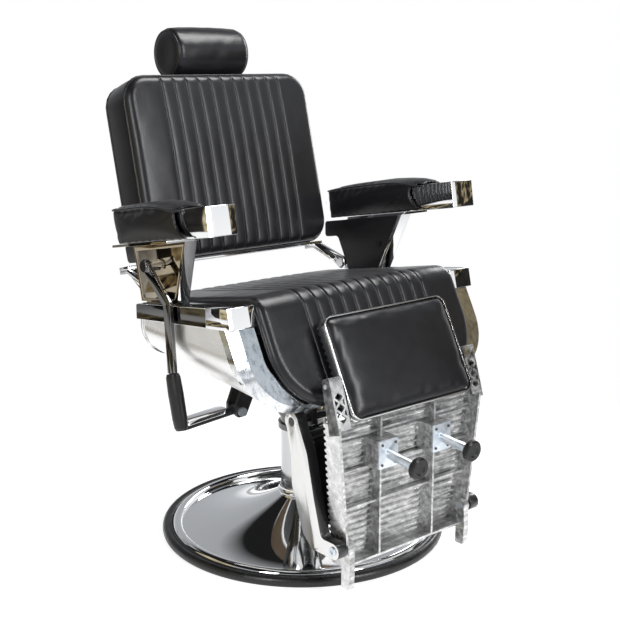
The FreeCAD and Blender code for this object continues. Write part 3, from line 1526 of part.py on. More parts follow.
def calf_pad():
    """Leather pad in the tray, crowned, with drawn-in sides."""
    half = calf_half_width - calf_tray_wall - rest_gap
    low = calf_tray_wall + rest_gap
    high = calf_height - calf_tray_wall - rest_gap
    rear = calf_tray_depth - calf_tray_wall - rest_gap
    middle = (low + high) / 2
    corner = calf_corner - calf_tray_wall
    wires = []
    shares = (1.0, 0.98, 0.93, 0.8, 0.5, 0.0)
    xs = [-half * s for s in shares] + [half * s for s in reversed(shares[:-1])]
    for x in xs:
        past = max(0.0, abs(x) - (half - corner))
        rise = corner - math.sqrt(max(0.0, corner ** 2 - past ** 2))
        z0 = low + rise
        z1 = high - rise
        share = abs(x) / half
        proud = calf_crown * (1 - share ** 6) * 0.55
        edge = -calf_crown * 0.15 * (1 - share ** 8)
        edges = [
            Part.LineSegment(V(x, rear, z1), V(x, rear, z0)).toShape(),
            Part.LineSegment(V(x, rear, z0), V(x, edge, z0)).toShape(),
            Part.Arc(V(x, edge, z0), V(x, edge - proud - 1, middle), V(x, edge, z1)).toShape(),
            Part.LineSegment(V(x, edge, z1), V(x, rear, z1)).toShape(),
        ]
        wires.append(Part.Wire(edges))
    return calf_place(Part.makeLoft(wires, True, True))


def calf_pin():
    y, z = calf_pivot()
    x0 = calf_half_width - 0.0
    x1 = plate_top_half + 2
    shank = rod_x(x0, x1, y, z, calf_pin_radius)
    return shank


# Export

def both_sides(name, maker):
    """The sitter's left piece is on +X and the right one is its mirror image."""
    left = maker()
    return {name + "_left": left, name + "_right": mirrored(left)}


pieces = {
    "base_plate": base_plate(),
    "base_cover": base_cover(),
    "base_rubber_rim": base_rubber_rim(),
    "pump_cylinder": pump_cylinder(),
    "pump_sleeve": pump_sleeve(),
    "sleeve_foot_ring": sleeve_foot_ring(),
    "pump_ram": pump_ram(),
    "pump_collar": pump_collar(),
    "swivel_bearing": swivel_bearing(),
    "seat_mount": seat_mount(),
    "seat_shell": seat_shell(),
    "shell_rear_trim": shell_rear_trim(),
    "front_rim": front_rim(),
    "front_board": front_board(),
    "seat_board": seat_board(),
    "seat_cushion": seat_cushion(),
    "arm_buttons": group([arm_button(), mirrored(arm_button())]),
    "recline_bolts": group([recline_bolt(), mirrored(recline_bolt())]),
    "slide_rails": group([slide_rail(), mirrored(slide_rail())]),
    "pump_lever_bracket": pump_lever_bracket(),
    "pump_lever_pin": pump_lever_pin(),
    "pump_lever": pump_lever(),
    "pump_lever_pad": pump_lever_pad(),
    "back_panel": back_panel(),
    "back_cushion": back_cushion(),
    "back_crossbar": back_crossbar(),
    "headrest_socket": headrest_socket(),
    "headrest_bar": headrest_bar(),
    "headrest_pillow": headrest_pillow(),
    "recline_lever": recline_lever(),
    "recline_grip": recline_grip(),
    "recline_lever_bolt": recline_lever_bolt(),
    "legrest_carriage": legrest_carriage(),
    "legrest_cross_tube": legrest_cross_tube(),
    "hinge_pins": group([hinge_pin(), mirrored(hinge_pin())]),
    "footplate": footplate(),
    "peg_mounts": group([peg_mount(-rib_x), peg_mount(rib_x)]),
    "peg_feet": group([peg_foot(-rib_x), peg_foot(rib_x)]),
    "peg_screws": peg_screws(),
    "calf_frame": calf_frame(),
    "calf_pad": calf_pad(),
    "calf_pins": group([calf_pin(), mirrored(calf_pin())]),
}
pieces.update(both_sides("side_rail", side_rail))
pieces.update(both_sides("rail_cap", rail_cap))
pieces.update(both_sides("arm_frame", arm_frame))
pieces.update(both_sides("arm_plate", arm_plate))
pieces.update(both_sides("arm_panel", arm_panel))
pieces.update(both_sides("arm_pad", arm_pad))
pieces.update(both_sides("arm_block", arm_block))
pieces.update(both_sides("back_bracket", back_bracket))
pieces.update(both_sides("legrest_arm", legrest_arm))

for name, shape in pieces.items():
    shape.exportStep("parts/" + name + ".step")
    print(name, "solids", len(shape.Solids), "valid", shape.isValid(), "cm3", round(shape.Volume / 1000, 1))
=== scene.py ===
import bpy
import bmesh
import json
import math
import numpy as np
from mathutils import Vector, Matrix

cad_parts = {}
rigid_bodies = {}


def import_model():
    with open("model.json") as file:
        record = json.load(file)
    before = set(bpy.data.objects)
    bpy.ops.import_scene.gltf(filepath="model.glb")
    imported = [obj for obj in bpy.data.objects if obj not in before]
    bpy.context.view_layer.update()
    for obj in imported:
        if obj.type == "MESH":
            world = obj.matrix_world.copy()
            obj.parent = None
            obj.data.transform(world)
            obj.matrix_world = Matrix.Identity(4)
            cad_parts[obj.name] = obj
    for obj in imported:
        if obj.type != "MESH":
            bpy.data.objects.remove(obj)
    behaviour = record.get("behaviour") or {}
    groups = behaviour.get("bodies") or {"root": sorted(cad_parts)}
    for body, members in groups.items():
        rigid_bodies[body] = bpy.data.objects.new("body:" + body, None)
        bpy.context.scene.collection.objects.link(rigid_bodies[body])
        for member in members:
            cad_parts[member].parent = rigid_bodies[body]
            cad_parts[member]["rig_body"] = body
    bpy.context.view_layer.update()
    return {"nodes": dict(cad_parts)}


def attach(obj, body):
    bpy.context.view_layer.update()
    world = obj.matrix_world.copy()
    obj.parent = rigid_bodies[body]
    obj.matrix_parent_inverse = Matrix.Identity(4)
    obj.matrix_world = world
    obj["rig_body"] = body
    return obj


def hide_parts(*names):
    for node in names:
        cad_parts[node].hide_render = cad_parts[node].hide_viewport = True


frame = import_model()
scene = bpy.context.scene
MM = 0.001
BOTH = ("left", "right")


# Number helpers

def rad(a):
    return math.radians(a)


def wavy(P, scale, seed, octaves=4):
    """Smooth repeatable noise, about -1 to 1, at points in millimetres. scale is its largest wavelength."""
    rng = np.random.default_rng(seed)
    gain, finer, spread, waves = 0.55, 1.9, 1.8, 3
    total = np.zeros(P.shape[:-1])
    weight = 0.0
    for o in range(octaves):
        for _ in range(waves):
            d = rng.normal(size=3)
            d /= np.linalg.norm(d)
            phase = rng.uniform(0, 2 * math.pi)
            total = total + gain ** o * np.sin(2 * math.pi * (P @ d) * finer ** o / scale + phase)
        weight += gain ** o * waves
    return total / weight * spread


def edge_sink(d, R):
    """Fall of a cushion's face near its outline: a quarter round of radius R at distance d."""
    t = np.clip(1 - d / R, 0, 1)
    return R * (1 - np.sqrt(np.clip(1 - t * t, 0, 1)))


def through(a, b, c, count):
    """Points of the arc through three points, each (radius, height)."""
    (ax, ay), (bx, by), (cx, cy) = a, b, c
    a2, b2, c2 = ax * ax + ay * ay, bx * bx + by * by, cx * cx + cy * cy
    d = 2 * (ax * (by - cy) + bx * (cy - ay) + cx * (ay - by))
    ux = (a2 * (by - cy) + b2 * (cy - ay) + c2 * (ay - by)) / d
    uy = (a2 * (cx - bx) + b2 * (ax - cx) + c2 * (bx - ax)) / d
    r = math.hypot(ax - ux, ay - uy)
    t0, t1, t2 = (math.atan2(y - uy, x - ux) for x, y in (a, b, c))
    turn = 2 * math.pi
    ahead = (t1 - t0) % turn < (t2 - t0) % turn
    sweep = (t2 - t0) % turn if ahead else (t2 - t0) % turn - turn
    turns = [t0 + sweep * k / (count - 1) for k in range(count)]
    return [(ux + r * math.cos(t), uy + r * math.sin(t)) for t in turns]


# Mesh helpers

def make_object(name, verts, faces):
    """Smooth object from points in millimetres."""
    mesh = bpy.data.meshes.new(name)
    mesh.from_pydata([tuple(v) for v in np.asarray(verts, float) * MM], [], faces)
    mesh.validate()
    mesh.update()
    mesh.shade_smooth()
    return linked(name, mesh)


def linked(name, data):
    obj = bpy.data.objects.new(name, data)
    scene.collection.objects.link(obj)
    return obj


def grid_faces(m, n, start=0, wrap_u=False, wrap_v=False, flip=False):
    """Faces of an m by n grid of points that begins at start."""
    faces = []
    for i in range(m if wrap_u else m - 1):
        for j in range(n if wrap_v else n - 1):
            a = start + i * n + j
            b = start + ((i + 1) % m) * n + j
            c = start + ((i + 1) % m) * n + (j + 1) % n
            d = start + i * n + (j + 1) % n
            faces.append((a, d, c, b) if flip else (a, b, c, d))
    return faces


def boundary(m, n):
    """Indices of a grid's outline, once round."""
    loop = [(i, 0) for i in range(m)]
    loop += [(m - 1, j) for j in range(1, n)]
    loop += [(i, n - 1) for i in range(m - 2, -1, -1)]
    loop += [(0, j) for j in range(n - 2, 0, -1)]
    return loop


def outline(sheet):
    """Points of a sheet's outline, once round."""
    return np.array([sheet[i, j] for i, j in boundary(*sheet.shape[:2])])


def closed_cushion(name, F, B, rings):
    """Closed form from a front sheet F, a back sheet B and rings of points between their outlines."""
    m, n = F.shape[:2]
    verts = list(F.reshape(-1, 3)) + list(B.reshape(-1, 3))
    faces = grid_faces(m, n) + grid_faces(m, n, m * n, flip=True)
    loop = boundary(m, n)
    count = len(loop)
    levels = [[i * n + j for i, j in loop]]
    for ring in rings:
        base = len(verts)
        verts += list(ring)
        levels.append([base + k for k in range(count)])
    levels.append([m * n + i * n + j for i, j in loop])
    for a, b in zip(levels[:-1], levels[1:]):
        for k in range(count):
            k2 = (k + 1) % count
            faces.append((a[k], b[k], b[k2], a[k2]))
    return recalc(make_object(name, verts, faces))


def recalc(obj):
    """Weld an object's doubled points and turn its faces outwards."""
    bm = bmesh.new()
    bm.from_mesh(obj.data)
    bmesh.ops.remove_doubles(bm, verts=bm.verts, dist=1e-6)
    bmesh.ops.recalc_face_normals(bm, faces=bm.faces)
    bm.to_mesh(obj.data)
    bm.free()
    obj.data.shade_smooth()
    return obj


def cross_axes(P, T):
    """Two axes across a path at each of its points, turned as little as they can be from point to point."""
    start = np.array([0.0, 0.0, 1.0]) if abs(T[0][2]) < 0.9 else np.array([1.0, 0.0, 0.0])
    last = np.cross(T[0], start)
    last /= np.linalg.norm(last)
    N = np.zeros_like(P)
    for i in range(len(P)):
        last = last - T[i] * np.dot(last, T[i])
        last /= np.linalg.norm(last) + 1e-12
        N[i] = last
    return N, np.cross(T, N)


def cord(name, points, radius, sides=8):
    """Closed round cord of piping along points in millimetres."""
    P = np.asarray(points, float)
    T = np.roll(P, -1, 0) - np.roll(P, 1, 0)
    T /= np.linalg.norm(T, axis=1)[:, None] + 1e-12
    N, across = cross_axes(P, T)
    ang = np.linspace(0, 2 * math.pi, sides, endpoint=False)[None, :, None]
    rings = P[:, None, :] + radius * (np.cos(ang) * N[:, None, :] + np.sin(ang) * across[:, None, :])
    faces = grid_faces(len(P), sides, wrap_u=True, wrap_v=True)
    return paint(recalc(make_object(name, rings.reshape(-1, 3), faces)), M["piping"])


def spin(name, profile, steps, sharp=35, centre=(0, 0, 0), along_y=False):
    """Turned piece from (radius, height) points, open or closed on its axis, which is Z unless along_y."""
    verts = []
    for r, h in profile:
        for a in np.linspace(0, 2 * math.pi, steps, endpoint=False):
            c, s = r * math.cos(a), r * math.sin(a)
            offset = (c, h, s) if along_y else (c, s, h)
            verts.append([p + q for p, q in zip(centre, offset)])
    obj = recalc(make_object(name, verts, grid_faces(len(profile), steps, wrap_v=True)))
    return smooth_by_angle(obj, sharp)


def smooth_by_angle(obj, degrees):
    """Smooth an object but for its edges sharper than an angle."""
    obj.data.shade_smooth()
    bm = bmesh.new()
    bm.from_mesh(obj.data)
    for e in bm.edges:
        if len(e.link_faces) == 2 and e.calc_face_angle(0) > rad(degrees):
            e.smooth = False
    bm.to_mesh(obj.data)
    bm.free()
    return obj


def apply_modifiers(obj):
    dg = bpy.context.evaluated_depsgraph_get()
    mesh = bpy.data.meshes.new_from_object(obj.evaluated_get(dg))
    old = obj.data
    obj.modifiers.clear()
    obj.data = mesh
    bpy.data.meshes.remove(old)


def join(name, objects):
    """One object from several of the same finish."""
    bm = bmesh.new()
    for o in objects:
        bm.from_mesh(o.data)
    mesh = bpy.data.meshes.new(name)
    bm.to_mesh(mesh)
    bm.free()
    mesh.materials.append(objects[0].data.materials[0])
    for o in objects:
        bpy.data.objects.remove(o)
    return linked(name, mesh)


def mirror_copy(obj, name):
    mesh = obj.data.copy()
    mesh.transform(Matrix.Scale(-1, 4, (1, 0, 0)))
    mesh.flip_normals()
    return linked(name, mesh)


def paint(obj, mat):
    obj.data.materials.clear()
    obj.data.materials.append(mat)
    return obj


def refinish(obj, extra, choose):
    """Add finishes to a piece. choose(face) gives a face's finish, or None to leave it as it is."""
    for mat in extra:
        obj.data.materials.append(mat)
    for face in obj.data.polygons:
        mat = choose(face)
        if mat:
            face.material_index = obj.data.materials.find(mat.name)


# Node helpers

def new_node(nt, kind, operation=None, **inputs):
    n = nt.nodes.new("ShaderNode" + kind)
    if operation:
        n.operation = operation
    for key, value in inputs.items():
        n.inputs[key.replace("_", " ")].default_value = value
    return n


def material(name, color, metallic, roughness, **inputs):
    mat = bpy.data.materials.new(name)
    mat.use_nodes = True
    nt = mat.node_tree
    bsdf = nt.nodes["Principled BSDF"]
    bsdf.inputs["Base Color"].default_value = (*color, 1)
    bsdf.inputs["Metallic"].default_value = metallic
    bsdf.inputs["Roughness"].default_value = roughness
    for key, value in inputs.items():
        bsdf.inputs[key.replace("_", " ")].default_value = value
    return mat, nt, bsdf


def coords(nt, scale=(1, 1, 1)):
    mapping = new_node(nt, "Mapping", Scale=scale)
    nt.links.new(new_node(nt, "TexCoord").outputs["Object"], mapping.inputs["Vector"])
    return mapping.outputs["Vector"]


def noise(nt, vector, scale, detail=4.0, roughness=0.55):
    n = new_node(nt, "TexNoise", Scale=scale, Detail=detail, Roughness=roughness)
    nt.links.new(vector, n.inputs["Vector"])
    return n.outputs["Fac"]


def cells(nt, vector, scale):
    """Distance to the edge of a cell, for leather's grain."""
    n = new_node(nt, "TexVoronoi", Scale=scale)
    n.feature = "DISTANCE_TO_EDGE"
    nt.links.new(vector, n.inputs["Vector"])
    return n.outputs["Distance"]


def number(nt, operation, a, b):
    n = new_node(nt, "Math", operation)
    for socket, value in zip(n.inputs, (a, b)):
        if isinstance(value, (int, float)):
            socket.default_value = value
        else:
            nt.links.new(value, socket)
    return n.outputs[0]


def remap(nt, value, low, high, from_low=0.0, from_high=1.0):
    n = new_node(nt, "MapRange", From_Min=from_low, From_Max=from_high, To_Min=low, To_Max=high)
    nt.links.new(value, n.inputs["Value"])
    return n.outputs["Result"]


def ramp(nt, value, stops):
    n = new_node(nt, "ValToRGB")
    el = n.color_ramp.elements
    while len(el) < len(stops):
        el.new(0.5)
    for e, (pos, col) in zip(el, stops):
        e.position = pos
        e.color = (*col, 1)
    nt.links.new(value, n.inputs["Fac"])
    return n.outputs["Color"]


def blend(nt, share, first, second):
    """Colour that goes from first to second with share."""
    n = new_node(nt, "Mix")
    n.data_type = "RGBA"
    nt.links.new(share, n.inputs["Factor"])
    nt.links.new(first, n.inputs["A"])
    nt.links.new(second, n.inputs["B"])
    return n.outputs["Result"]


def axes_of(nt, vector):
    n = new_node(nt, "SeparateXYZ")
    nt.links.new(vector, n.inputs[0])
    return n.outputs


def bump(nt, bsdf, height, distance, strength, normal=None):
    n = new_node(nt, "Bump", Distance=distance, Strength=strength)
    nt.links.new(height, n.inputs["Height"])
    if normal is not None:
        nt.links.new(normal, n.inputs["Normal"])
    nt.links.new(n.outputs["Normal"], bsdf.inputs["Normal"])
    return n.outputs["Normal"]


def coloured(nt, bsdf, value, stops):
    nt.links.new(ramp(nt, value, stops), bsdf.inputs["Base Color"])


def roughened(nt, bsdf, value, low, high, from_low=0.35, from_high=0.65):
    nt.links.new(remap(nt, value, low, high, from_low, from_high), bsdf.inputs["Roughness"])


def grey(level):
    return (level, level, level)


# Materials

def leather_material(name, tint=1.0):
    mat, nt, bsdf = material(name, (0.009, 0.009, 0.011), 0.0, 0.3, Specular_IOR_Level=0.5,
                             Sheen_Weight=0.08, Sheen_Roughness=0.35)
    v = coords(nt)
    dark, pale = (0.0075, 0.0074, 0.0092), (0.0120, 0.0118, 0.0146)
    coloured(nt, bsdf, noise(nt, v, 7.0, 3.0),
             [(0.3, [c * tint for c in dark]), (0.7, [c * tint for c in pale])])
    roughened(nt, bsdf, noise(nt, v, 40.0, 3.0), 0.28, 0.33, 0.3, 0.7)
    first = bump(nt, bsdf, noise(nt, v, 24.0, 2.0, 0.4), 0.0006, 0.5)
    bump(nt, bsdf, cells(nt, v, 1100.0), 0.00012, 0.4, first)
    return mat


def chrome_material(name, color, rough=(0.03, 0.07)):
    mat, nt, bsdf = material(name, color, 1.0, 0.05)
    v = coords(nt)
    roughened(nt, bsdf, noise(nt, v, 7.0, 5.0), *rough, 0.35, 0.7)
    bump(nt, bsdf, noise(nt, v, 16.0, 2.0, 0.4), 0.00035, 0.35)
    return mat


def rim_material():
    """Worn chrome of the front band, with a painted olive reflection high on its outer sides."""
    mat, nt, bsdf = material("rim_chrome", (0.8, 0.82, 0.85), 1.0, 0.1)
    v = coords(nt)
    wear = ramp(nt, noise(nt, coords(nt, (1, 1, 0.4)), 75.0, 6.0, 0.7),
                [(0.34, (0.5, 0.54, 0.58)), (0.48, (0.84, 0.87, 0.9)), (0.62, (0.96, 0.98, 1.0))])
    roughened(nt, bsdf, noise(nt, v, 45.0, 4.0), 0.05, 0.2)
    bump(nt, bsdf, noise(nt, v, 26.0, 4.0), 0.0008, 0.5)
    # Painted olive reflection: faces that look sideways and stand high blend to olive.
    across = axes_of(nt, new_node(nt, "NewGeometry").outputs["Normal"])["X"]
    outward = remap(nt, number(nt, "MULTIPLY", across, across), 0, 1, 0.55, 0.8)
    high = remap(nt, axes_of(nt, v)["Z"], 0, 1, 0.46, 0.53)
    painted_olive_reflection = new_node(nt, "RGB").outputs[0]
    painted_olive_reflection.default_value = (0.30, 0.28, 0.20, 1)
    with_painted_reflection = blend(nt, number(nt, "MULTIPLY", outward, high), wear, painted_olive_reflection)
    nt.links.new(with_painted_reflection, bsdf.inputs["Base Color"])
    return mat


def cast_material():
    """Raw casting with streaks across the chair."""
    mat, nt, bsdf = material("cast_aluminium", grey(0.5), 1.0, 0.4)
    v = coords(nt)
    streaks = noise(nt, coords(nt, (9, 140, 140)), 1.0, 5.0)
    spots = noise(nt, v, 75.0, 4.0)
    mottle = remap(nt, number(nt, "ADD", streaks, spots), 0, 1, 0.7, 1.3)
    coloured(nt, bsdf, mottle, [(0.0, grey(0.28)), (0.5, grey(0.57)), (1.0, (0.95, 0.95, 0.94))])
    roughened(nt, bsdf, spots, 0.3, 0.5)
    first = bump(nt, bsdf, noise(nt, v, 70.0), 0.0012, 0.5)
    bump(nt, bsdf, noise(nt, v, 500.0, 3.0), 0.0002, 0.5, first)
    return mat


def ridge_and_highlight_material():
    """Bright rubbed edges of the casting, also used as a painted highlight on the lattice arms' fronts."""
    mat, nt, bsdf = material("worn_ridge_and_highlight", grey(0.9), 1.0, 0.25)
    v = coords(nt)
    coloured(nt, bsdf, noise(nt, v, 60.0), [(0.36, grey(0.60)), (0.62, grey(0.84))])
    roughened(nt, bsdf, noise(nt, v, 90.0, 3.0), 0.18, 0.4)
    return mat


# Painted shade for the sides of the lattice arms.
def shaded_cast_material():
    mat, nt, bsdf = material("shaded_casting", grey(0.2), 1.0, 0.45)
    v = coords(nt)
    coloured(nt, bsdf, noise(nt, v, 60.0, 5.0), [(0.38, grey(0.10)), (0.62, grey(0.30))])
    bump(nt, bsdf, noise(nt, v, 90.0), 0.001, 0.5)
    return mat


def aluminium_material():
    mat, nt, bsdf = material("polished_aluminium", (0.80, 0.80, 0.79), 1.0, 0.16)
    v = coords(nt)
    roughened(nt, bsdf, noise(nt, v, 14.0), 0.1, 0.24)
    bump(nt, bsdf, noise(nt, v, 40.0, 3.0), 0.0005, 0.3)
    return mat


def zinc_material():
    mat, nt, bsdf = material("zinc_plate", (0.66, 0.72, 0.78), 1.0, 0.28)
    v = coords(nt)
    coloured(nt, bsdf, noise(nt, v, 55.0), [(0.35, (0.66, 0.73, 0.80)), (0.65, (0.88, 0.93, 0.98))])
    roughened(nt, bsdf, noise(nt, v, 120.0, 3.0), 0.32, 0.48)
    bump(nt, bsdf, noise(nt, v, 200.0, 3.0), 0.0003, 0.4)
    return mat


def rubber_material():
    mat, nt, bsdf = material("black_rubber", grey(0.01), 0.0, 0.4)
    v = coords(nt)
    coloured(nt, bsdf, noise(nt, v, 18.0), [(0.3, grey(0.007)), (0.7, grey(0.014))])
    roughened(nt, bsdf, noise(nt, v, 40.0, 3.0), 0.26, 0.42)
    bump(nt, bsdf, noise(nt, v, 700.0, 2.0), 0.0001, 0.5)
    return mat


def enamel_material():
    mat, nt, bsdf = material("black_enamel", grey(0.02), 0.0, 0.3, Coat_Weight=0.4, Coat_Roughness=0.15)
    v = coords(nt)
    coloured(nt, bsdf, noise(nt, v, 12.0), [(0.3, (0.012, 0.012, 0.013)), (0.7, (0.03, 0.03, 0.031))])
    bump(nt, bsdf, noise(nt, v, 160.0, 3.0), 0.0003, 0.5)
    return mat


def steel_material():
    mat, nt, bsdf = material("ground_steel", grey(0.6), 1.0, 0.25)
    roughened(nt, bsdf, noise(nt, coords(nt, (1, 1, 40)), 20.0, 3.0), 0.18, 0.32, 0.3, 0.7)
    return mat


def bronze_material():
    mat, nt, bsdf = material("bronze_washer", (0.6, 0.45, 0.22), 1.0, 0.3)
    roughened(nt, bsdf, noise(nt, coords(nt), 60.0, 3.0), 0.22, 0.4, 0.3, 0.7)
    return mat


def plywood_material():
    mat, nt, bsdf = material("plywood", (0.45, 0.3, 0.17), 0.0, 0.6)
    v = coords(nt, (3, 40, 40))
    coloured(nt, bsdf, noise(nt, v, 6.0, 5.0), [(0.3, (0.11, 0.07, 0.04)), (0.7, (0.2, 0.14, 0.085))])
    bump(nt, bsdf, noise(nt, v, 20.0), 0.0004, 0.5)
    return mat


M = {
    "leather": leather_material("black_leather"),
    "piping": leather_material("piping_leather", 0.8),
    "chrome": chrome_material("chrome", (0.93, 0.935, 0.94)),
    "satin": chrome_material("satin_chrome", (0.97, 0.965, 0.955), (0.26, 0.34)),
    # Smoked chrome is the dark finish of the rails, lever, collar and screws, and also painted shade on the
    # arm frames.
    "smoked_and_shade": chrome_material("smoked_chrome_and_shade", (0.15, 0.148, 0.145), (0.05, 0.1)),
    # Brown tinted chrome is a painted reflection, on the arm plates and the arm frames' outer sides.
    "brown_reflection": chrome_material("brown_reflection_chrome", (0.36, 0.305, 0.215), (0.03, 0.09)),
    "worn": chrome_material("worn_chrome", (0.60, 0.61, 0.62), (0.06, 0.13)),
    "rim": rim_material(),
    "cast": cast_material(),
    "ridge_and_highlight": ridge_and_highlight_material(),
    "cast_shade": shaded_cast_material(),
    "alu": aluminium_material(),
    "zinc": zinc_material(),
    "rubber": rubber_material(),
    "enamel": enamel_material(),
    "steel": steel_material(),
    "bronze": bronze_material(),
    "ply": plywood_material(),
}

nodes_of = {
    "leather": ["arm_buttons", "seat_cushion", "back_cushion", "back_panel", "headrest_pillow", "calf_pad"],
    "chrome": ["base_cover", "sleeve_foot_ring", "shell_rear_trim", "back_crossbar", "recline_lever",
               "recline_lever_bolt", "recline_bolts", "pump_lever_pad"],
    "smoked_and_shade": ["peg_screws", "pump_collar"],
    "satin": ["seat_shell"],
    "worn": ["pump_sleeve"],
    "rim": ["front_rim"],
    "enamel": ["seat_mount", "pump_lever_bracket", "pump_lever", "slide_rails", "legrest_carriage",
               "legrest_cross_tube", "base_plate", "front_board"],
    "steel": ["pump_cylinder", "pump_ram", "headrest_bar", "headrest_socket"],
    "bronze": ["swivel_bearing"],
    "ply": ["seat_board"],
    "alu": ["calf_frame"],
    "cast": ["footplate"],
    "zinc": ["peg_mounts", "hinge_pins", "calf_pins", "pump_lever_pin"],
    "rubber": ["base_rubber_rim", "peg_feet", "recline_grip"],
}
for side in BOTH:
    nodes_of["chrome"] += [stem + side for stem in ("rail_cap_", "arm_frame_", "arm_plate_", "arm_block_",
                                                    "back_bracket_")]
    nodes_of["smoked_and_shade"] += ["side_rail_" + side]
    nodes_of["alu"] += ["legrest_arm_" + side]
    nodes_of["leather"] += ["arm_panel_" + side, "arm_pad_" + side]

for key, names in nodes_of.items():
    for name in names:
        paint(frame["nodes"][name], M[key])


# Camera

CAMERA_AT = Vector((-1.4946, -1.8332, 1.0581))
CAMERA_TO = Vector((0.0221, 0, 0.5083))
towards = Vector((CAMERA_AT.x - CAMERA_TO.x, CAMERA_AT.y - CAMERA_TO.y, 0)).normalized()
rightward = Vector((-towards.y, towards.x, 0))
leftward = -rightward


def build_camera():
    data = bpy.data.cameras.new("camera")
    data.lens = 63.0
    data.sensor_width = 36.0
    cam = linked("camera", data)
    cam.location = CAMERA_AT
    cam.rotation_euler = (CAMERA_TO - CAMERA_AT).to_track_quat("-Z", "Y").to_euler()
    scene.camera = cam
    scene.view_settings.view_transform = "Standard"


# Studio

def mixed(nt, share, first, second):
    """Shader that goes from first to second with share."""
    n = new_node(nt, "MixShader")
    nt.links.new(share, n.inputs["Fac"])
    nt.links.new(first, n.inputs[1])
    nt.links.new(second, n.inputs[2])
    return n.outputs[0]


def dot(nt, vector, direction):
    n = new_node(nt, "VectorMath", "DOT_PRODUCT")
    n.inputs[1].default_value = direction
    nt.links.new(vector, n.inputs[0])
    return n.outputs["Value"]


def build_world():
    """White for the camera, an even fill for all else, and walls that darken overhead for glossy rays."""
    world = bpy.data.worlds.new("studio")
    scene.world = world
    world.use_nodes = True
    nt = world.node_tree
    fill = nt.nodes["Background"]
    fill.inputs["Color"].default_value = (1, 1, 1, 1)
    fill.inputs["Strength"].default_value = 0.34
    white = new_node(nt, "Background", Color=(1, 1, 1, 1))
    walls = new_node(nt, "Background")
    direction = new_node(nt, "TexCoord").outputs["Generated"]
    up = axes_of(nt, direction)["Z"]
    far_wall = ramp(nt, up, [(0.0, (0.95, 0.96, 0.98)), (0.10, (0.5, 0.515, 0.535)),
                             (0.30, (0.41, 0.42, 0.44)), (0.56, (0.36, 0.37, 0.385)), (0.67, grey(0.012))])
    right_wall = ramp(nt, up, [(0.0, grey(1.0)), (0.25, (0.85, 0.87, 0.89)),
                               (0.52, (0.42, 0.46, 0.50)), (0.75, grey(0.012))])
    to_right = remap(nt, dot(nt, direction, rightward), 0, 1, 0.25, 0.8)
    nt.links.new(blend(nt, to_right, far_wall, right_wall), walls.inputs["Color"])
    path = new_node(nt, "LightPath")
    unseen = mixed(nt, path.outputs["Is Glossy Ray"], fill.outputs[0], walls.outputs[0])
    nt.links.new(mixed(nt, path.outputs["Is Camera Ray"], unseen, white.outputs[0]),
                 nt.nodes["World Output"].inputs["Surface"])


def build_floor():
    """Floor, plain white away from the base, but grey behind, at the right and far off for glossy rays."""
    reach, drop = 9000, 0.5
    corners = [(-reach, -reach, 0), (reach, -reach, 0), (reach, reach, 0), (-reach, reach, 0)]
    floor = make_object("studio_floor", corners, [(0, 1, 2, 3)])
    floor.location.z = -drop * MM
    mat, nt, bsdf = material("pale_floor", grey(0.5), 0.0, 0.6, Specular_IOR_Level=0.1)
    glow = new_node(nt, "Emission", Strength=1.0, Color=(0.78, 0.78, 0.78, 1))
    lit = new_node(nt, "AddShader")
    nt.links.new(bsdf.outputs[0], lit.inputs[0])
    nt.links.new(glow.outputs[0], lit.inputs[1])
    place = new_node(nt, "TexCoord").outputs["Object"]
    span = new_node(nt, "VectorMath", "LENGTH")
    nt.links.new(place, span.inputs[0])
    distance = span.outputs["Value"]
    path = new_node(nt, "LightPath")
    aside = number(nt, "MAXIMUM", dot(nt, place, -towards), dot(nt, place, rightward))
    grey_part = number(nt, "MAXIMUM", remap(nt, aside, 0, 1, 0.5, 1.2), remap(nt, distance, 0, 1, 2.4, 3.2))
    shade = number(nt, "MULTIPLY", grey_part, path.outputs["Is Glossy Ray"])
    plain = new_node(nt, "Emission", Strength=1.0)
    nt.links.new(ramp(nt, shade, [(0.0, grey(1.0)), (1.0, (0.42, 0.43, 0.45))]), plain.inputs["Color"])
    open_floor = mixed(nt, remap(nt, distance, 0, 1, 0.55, 1.3), lit.outputs[0], plain.outputs[0])
    seen = number(nt, "MAXIMUM", path.outputs["Is Camera Ray"], path.outputs["Is Glossy Ray"])
    nt.links.new(mixed(nt, seen, bsdf.outputs[0], open_floor), nt.nodes["Material Output"].inputs["Surface"])
    paint(floor, mat)


def soft_light(name, location, target, size, power):
    data = bpy.data.lights.new(name, "AREA")
    data.shape = "RECTANGLE"
    data.size, data.size_y = size
    data.energy = power
    obj = linked(name, data)
    obj.location = location
    obj.rotation_euler = (Vector(target) - Vector(location)).to_track_quat("-Z", "Y").to_euler()


def card(name, corners, scale, stops):
    """Coloured card outside the picture, seen in reflections only."""
    obj = make_object(name, [tuple(c / MM) for c in corners], [(0, 1, 2, 3)])
    mat = bpy.data.materials.new(name + "_cloth")
    mat.use_nodes = True
    nt = mat.node_tree
    light = new_node(nt, "Emission")
    patches = noise(nt, coords(nt, (1.0, 1.0, 2.0)), scale, 2.0, 0.5)
    nt.links.new(ramp(nt, patches, stops), light.inputs["Color"])
    nt.links.new(light.outputs[0], nt.nodes["Material Output"].inputs["Surface"])
    paint(obj, mat)
    obj.visible_camera = False
    obj.visible_diffuse = False
    obj.visible_shadow = False


def upright(foot_a, foot_b, low, high):
    """Corners of an upright card over the line from foot_a to foot_b."""
    return [foot_a + Vector((0, 0, low)), foot_b + Vector((0, 0, low)),
            foot_b + Vector((0, 0, high)), foot_a + Vector((0, 0, high))]


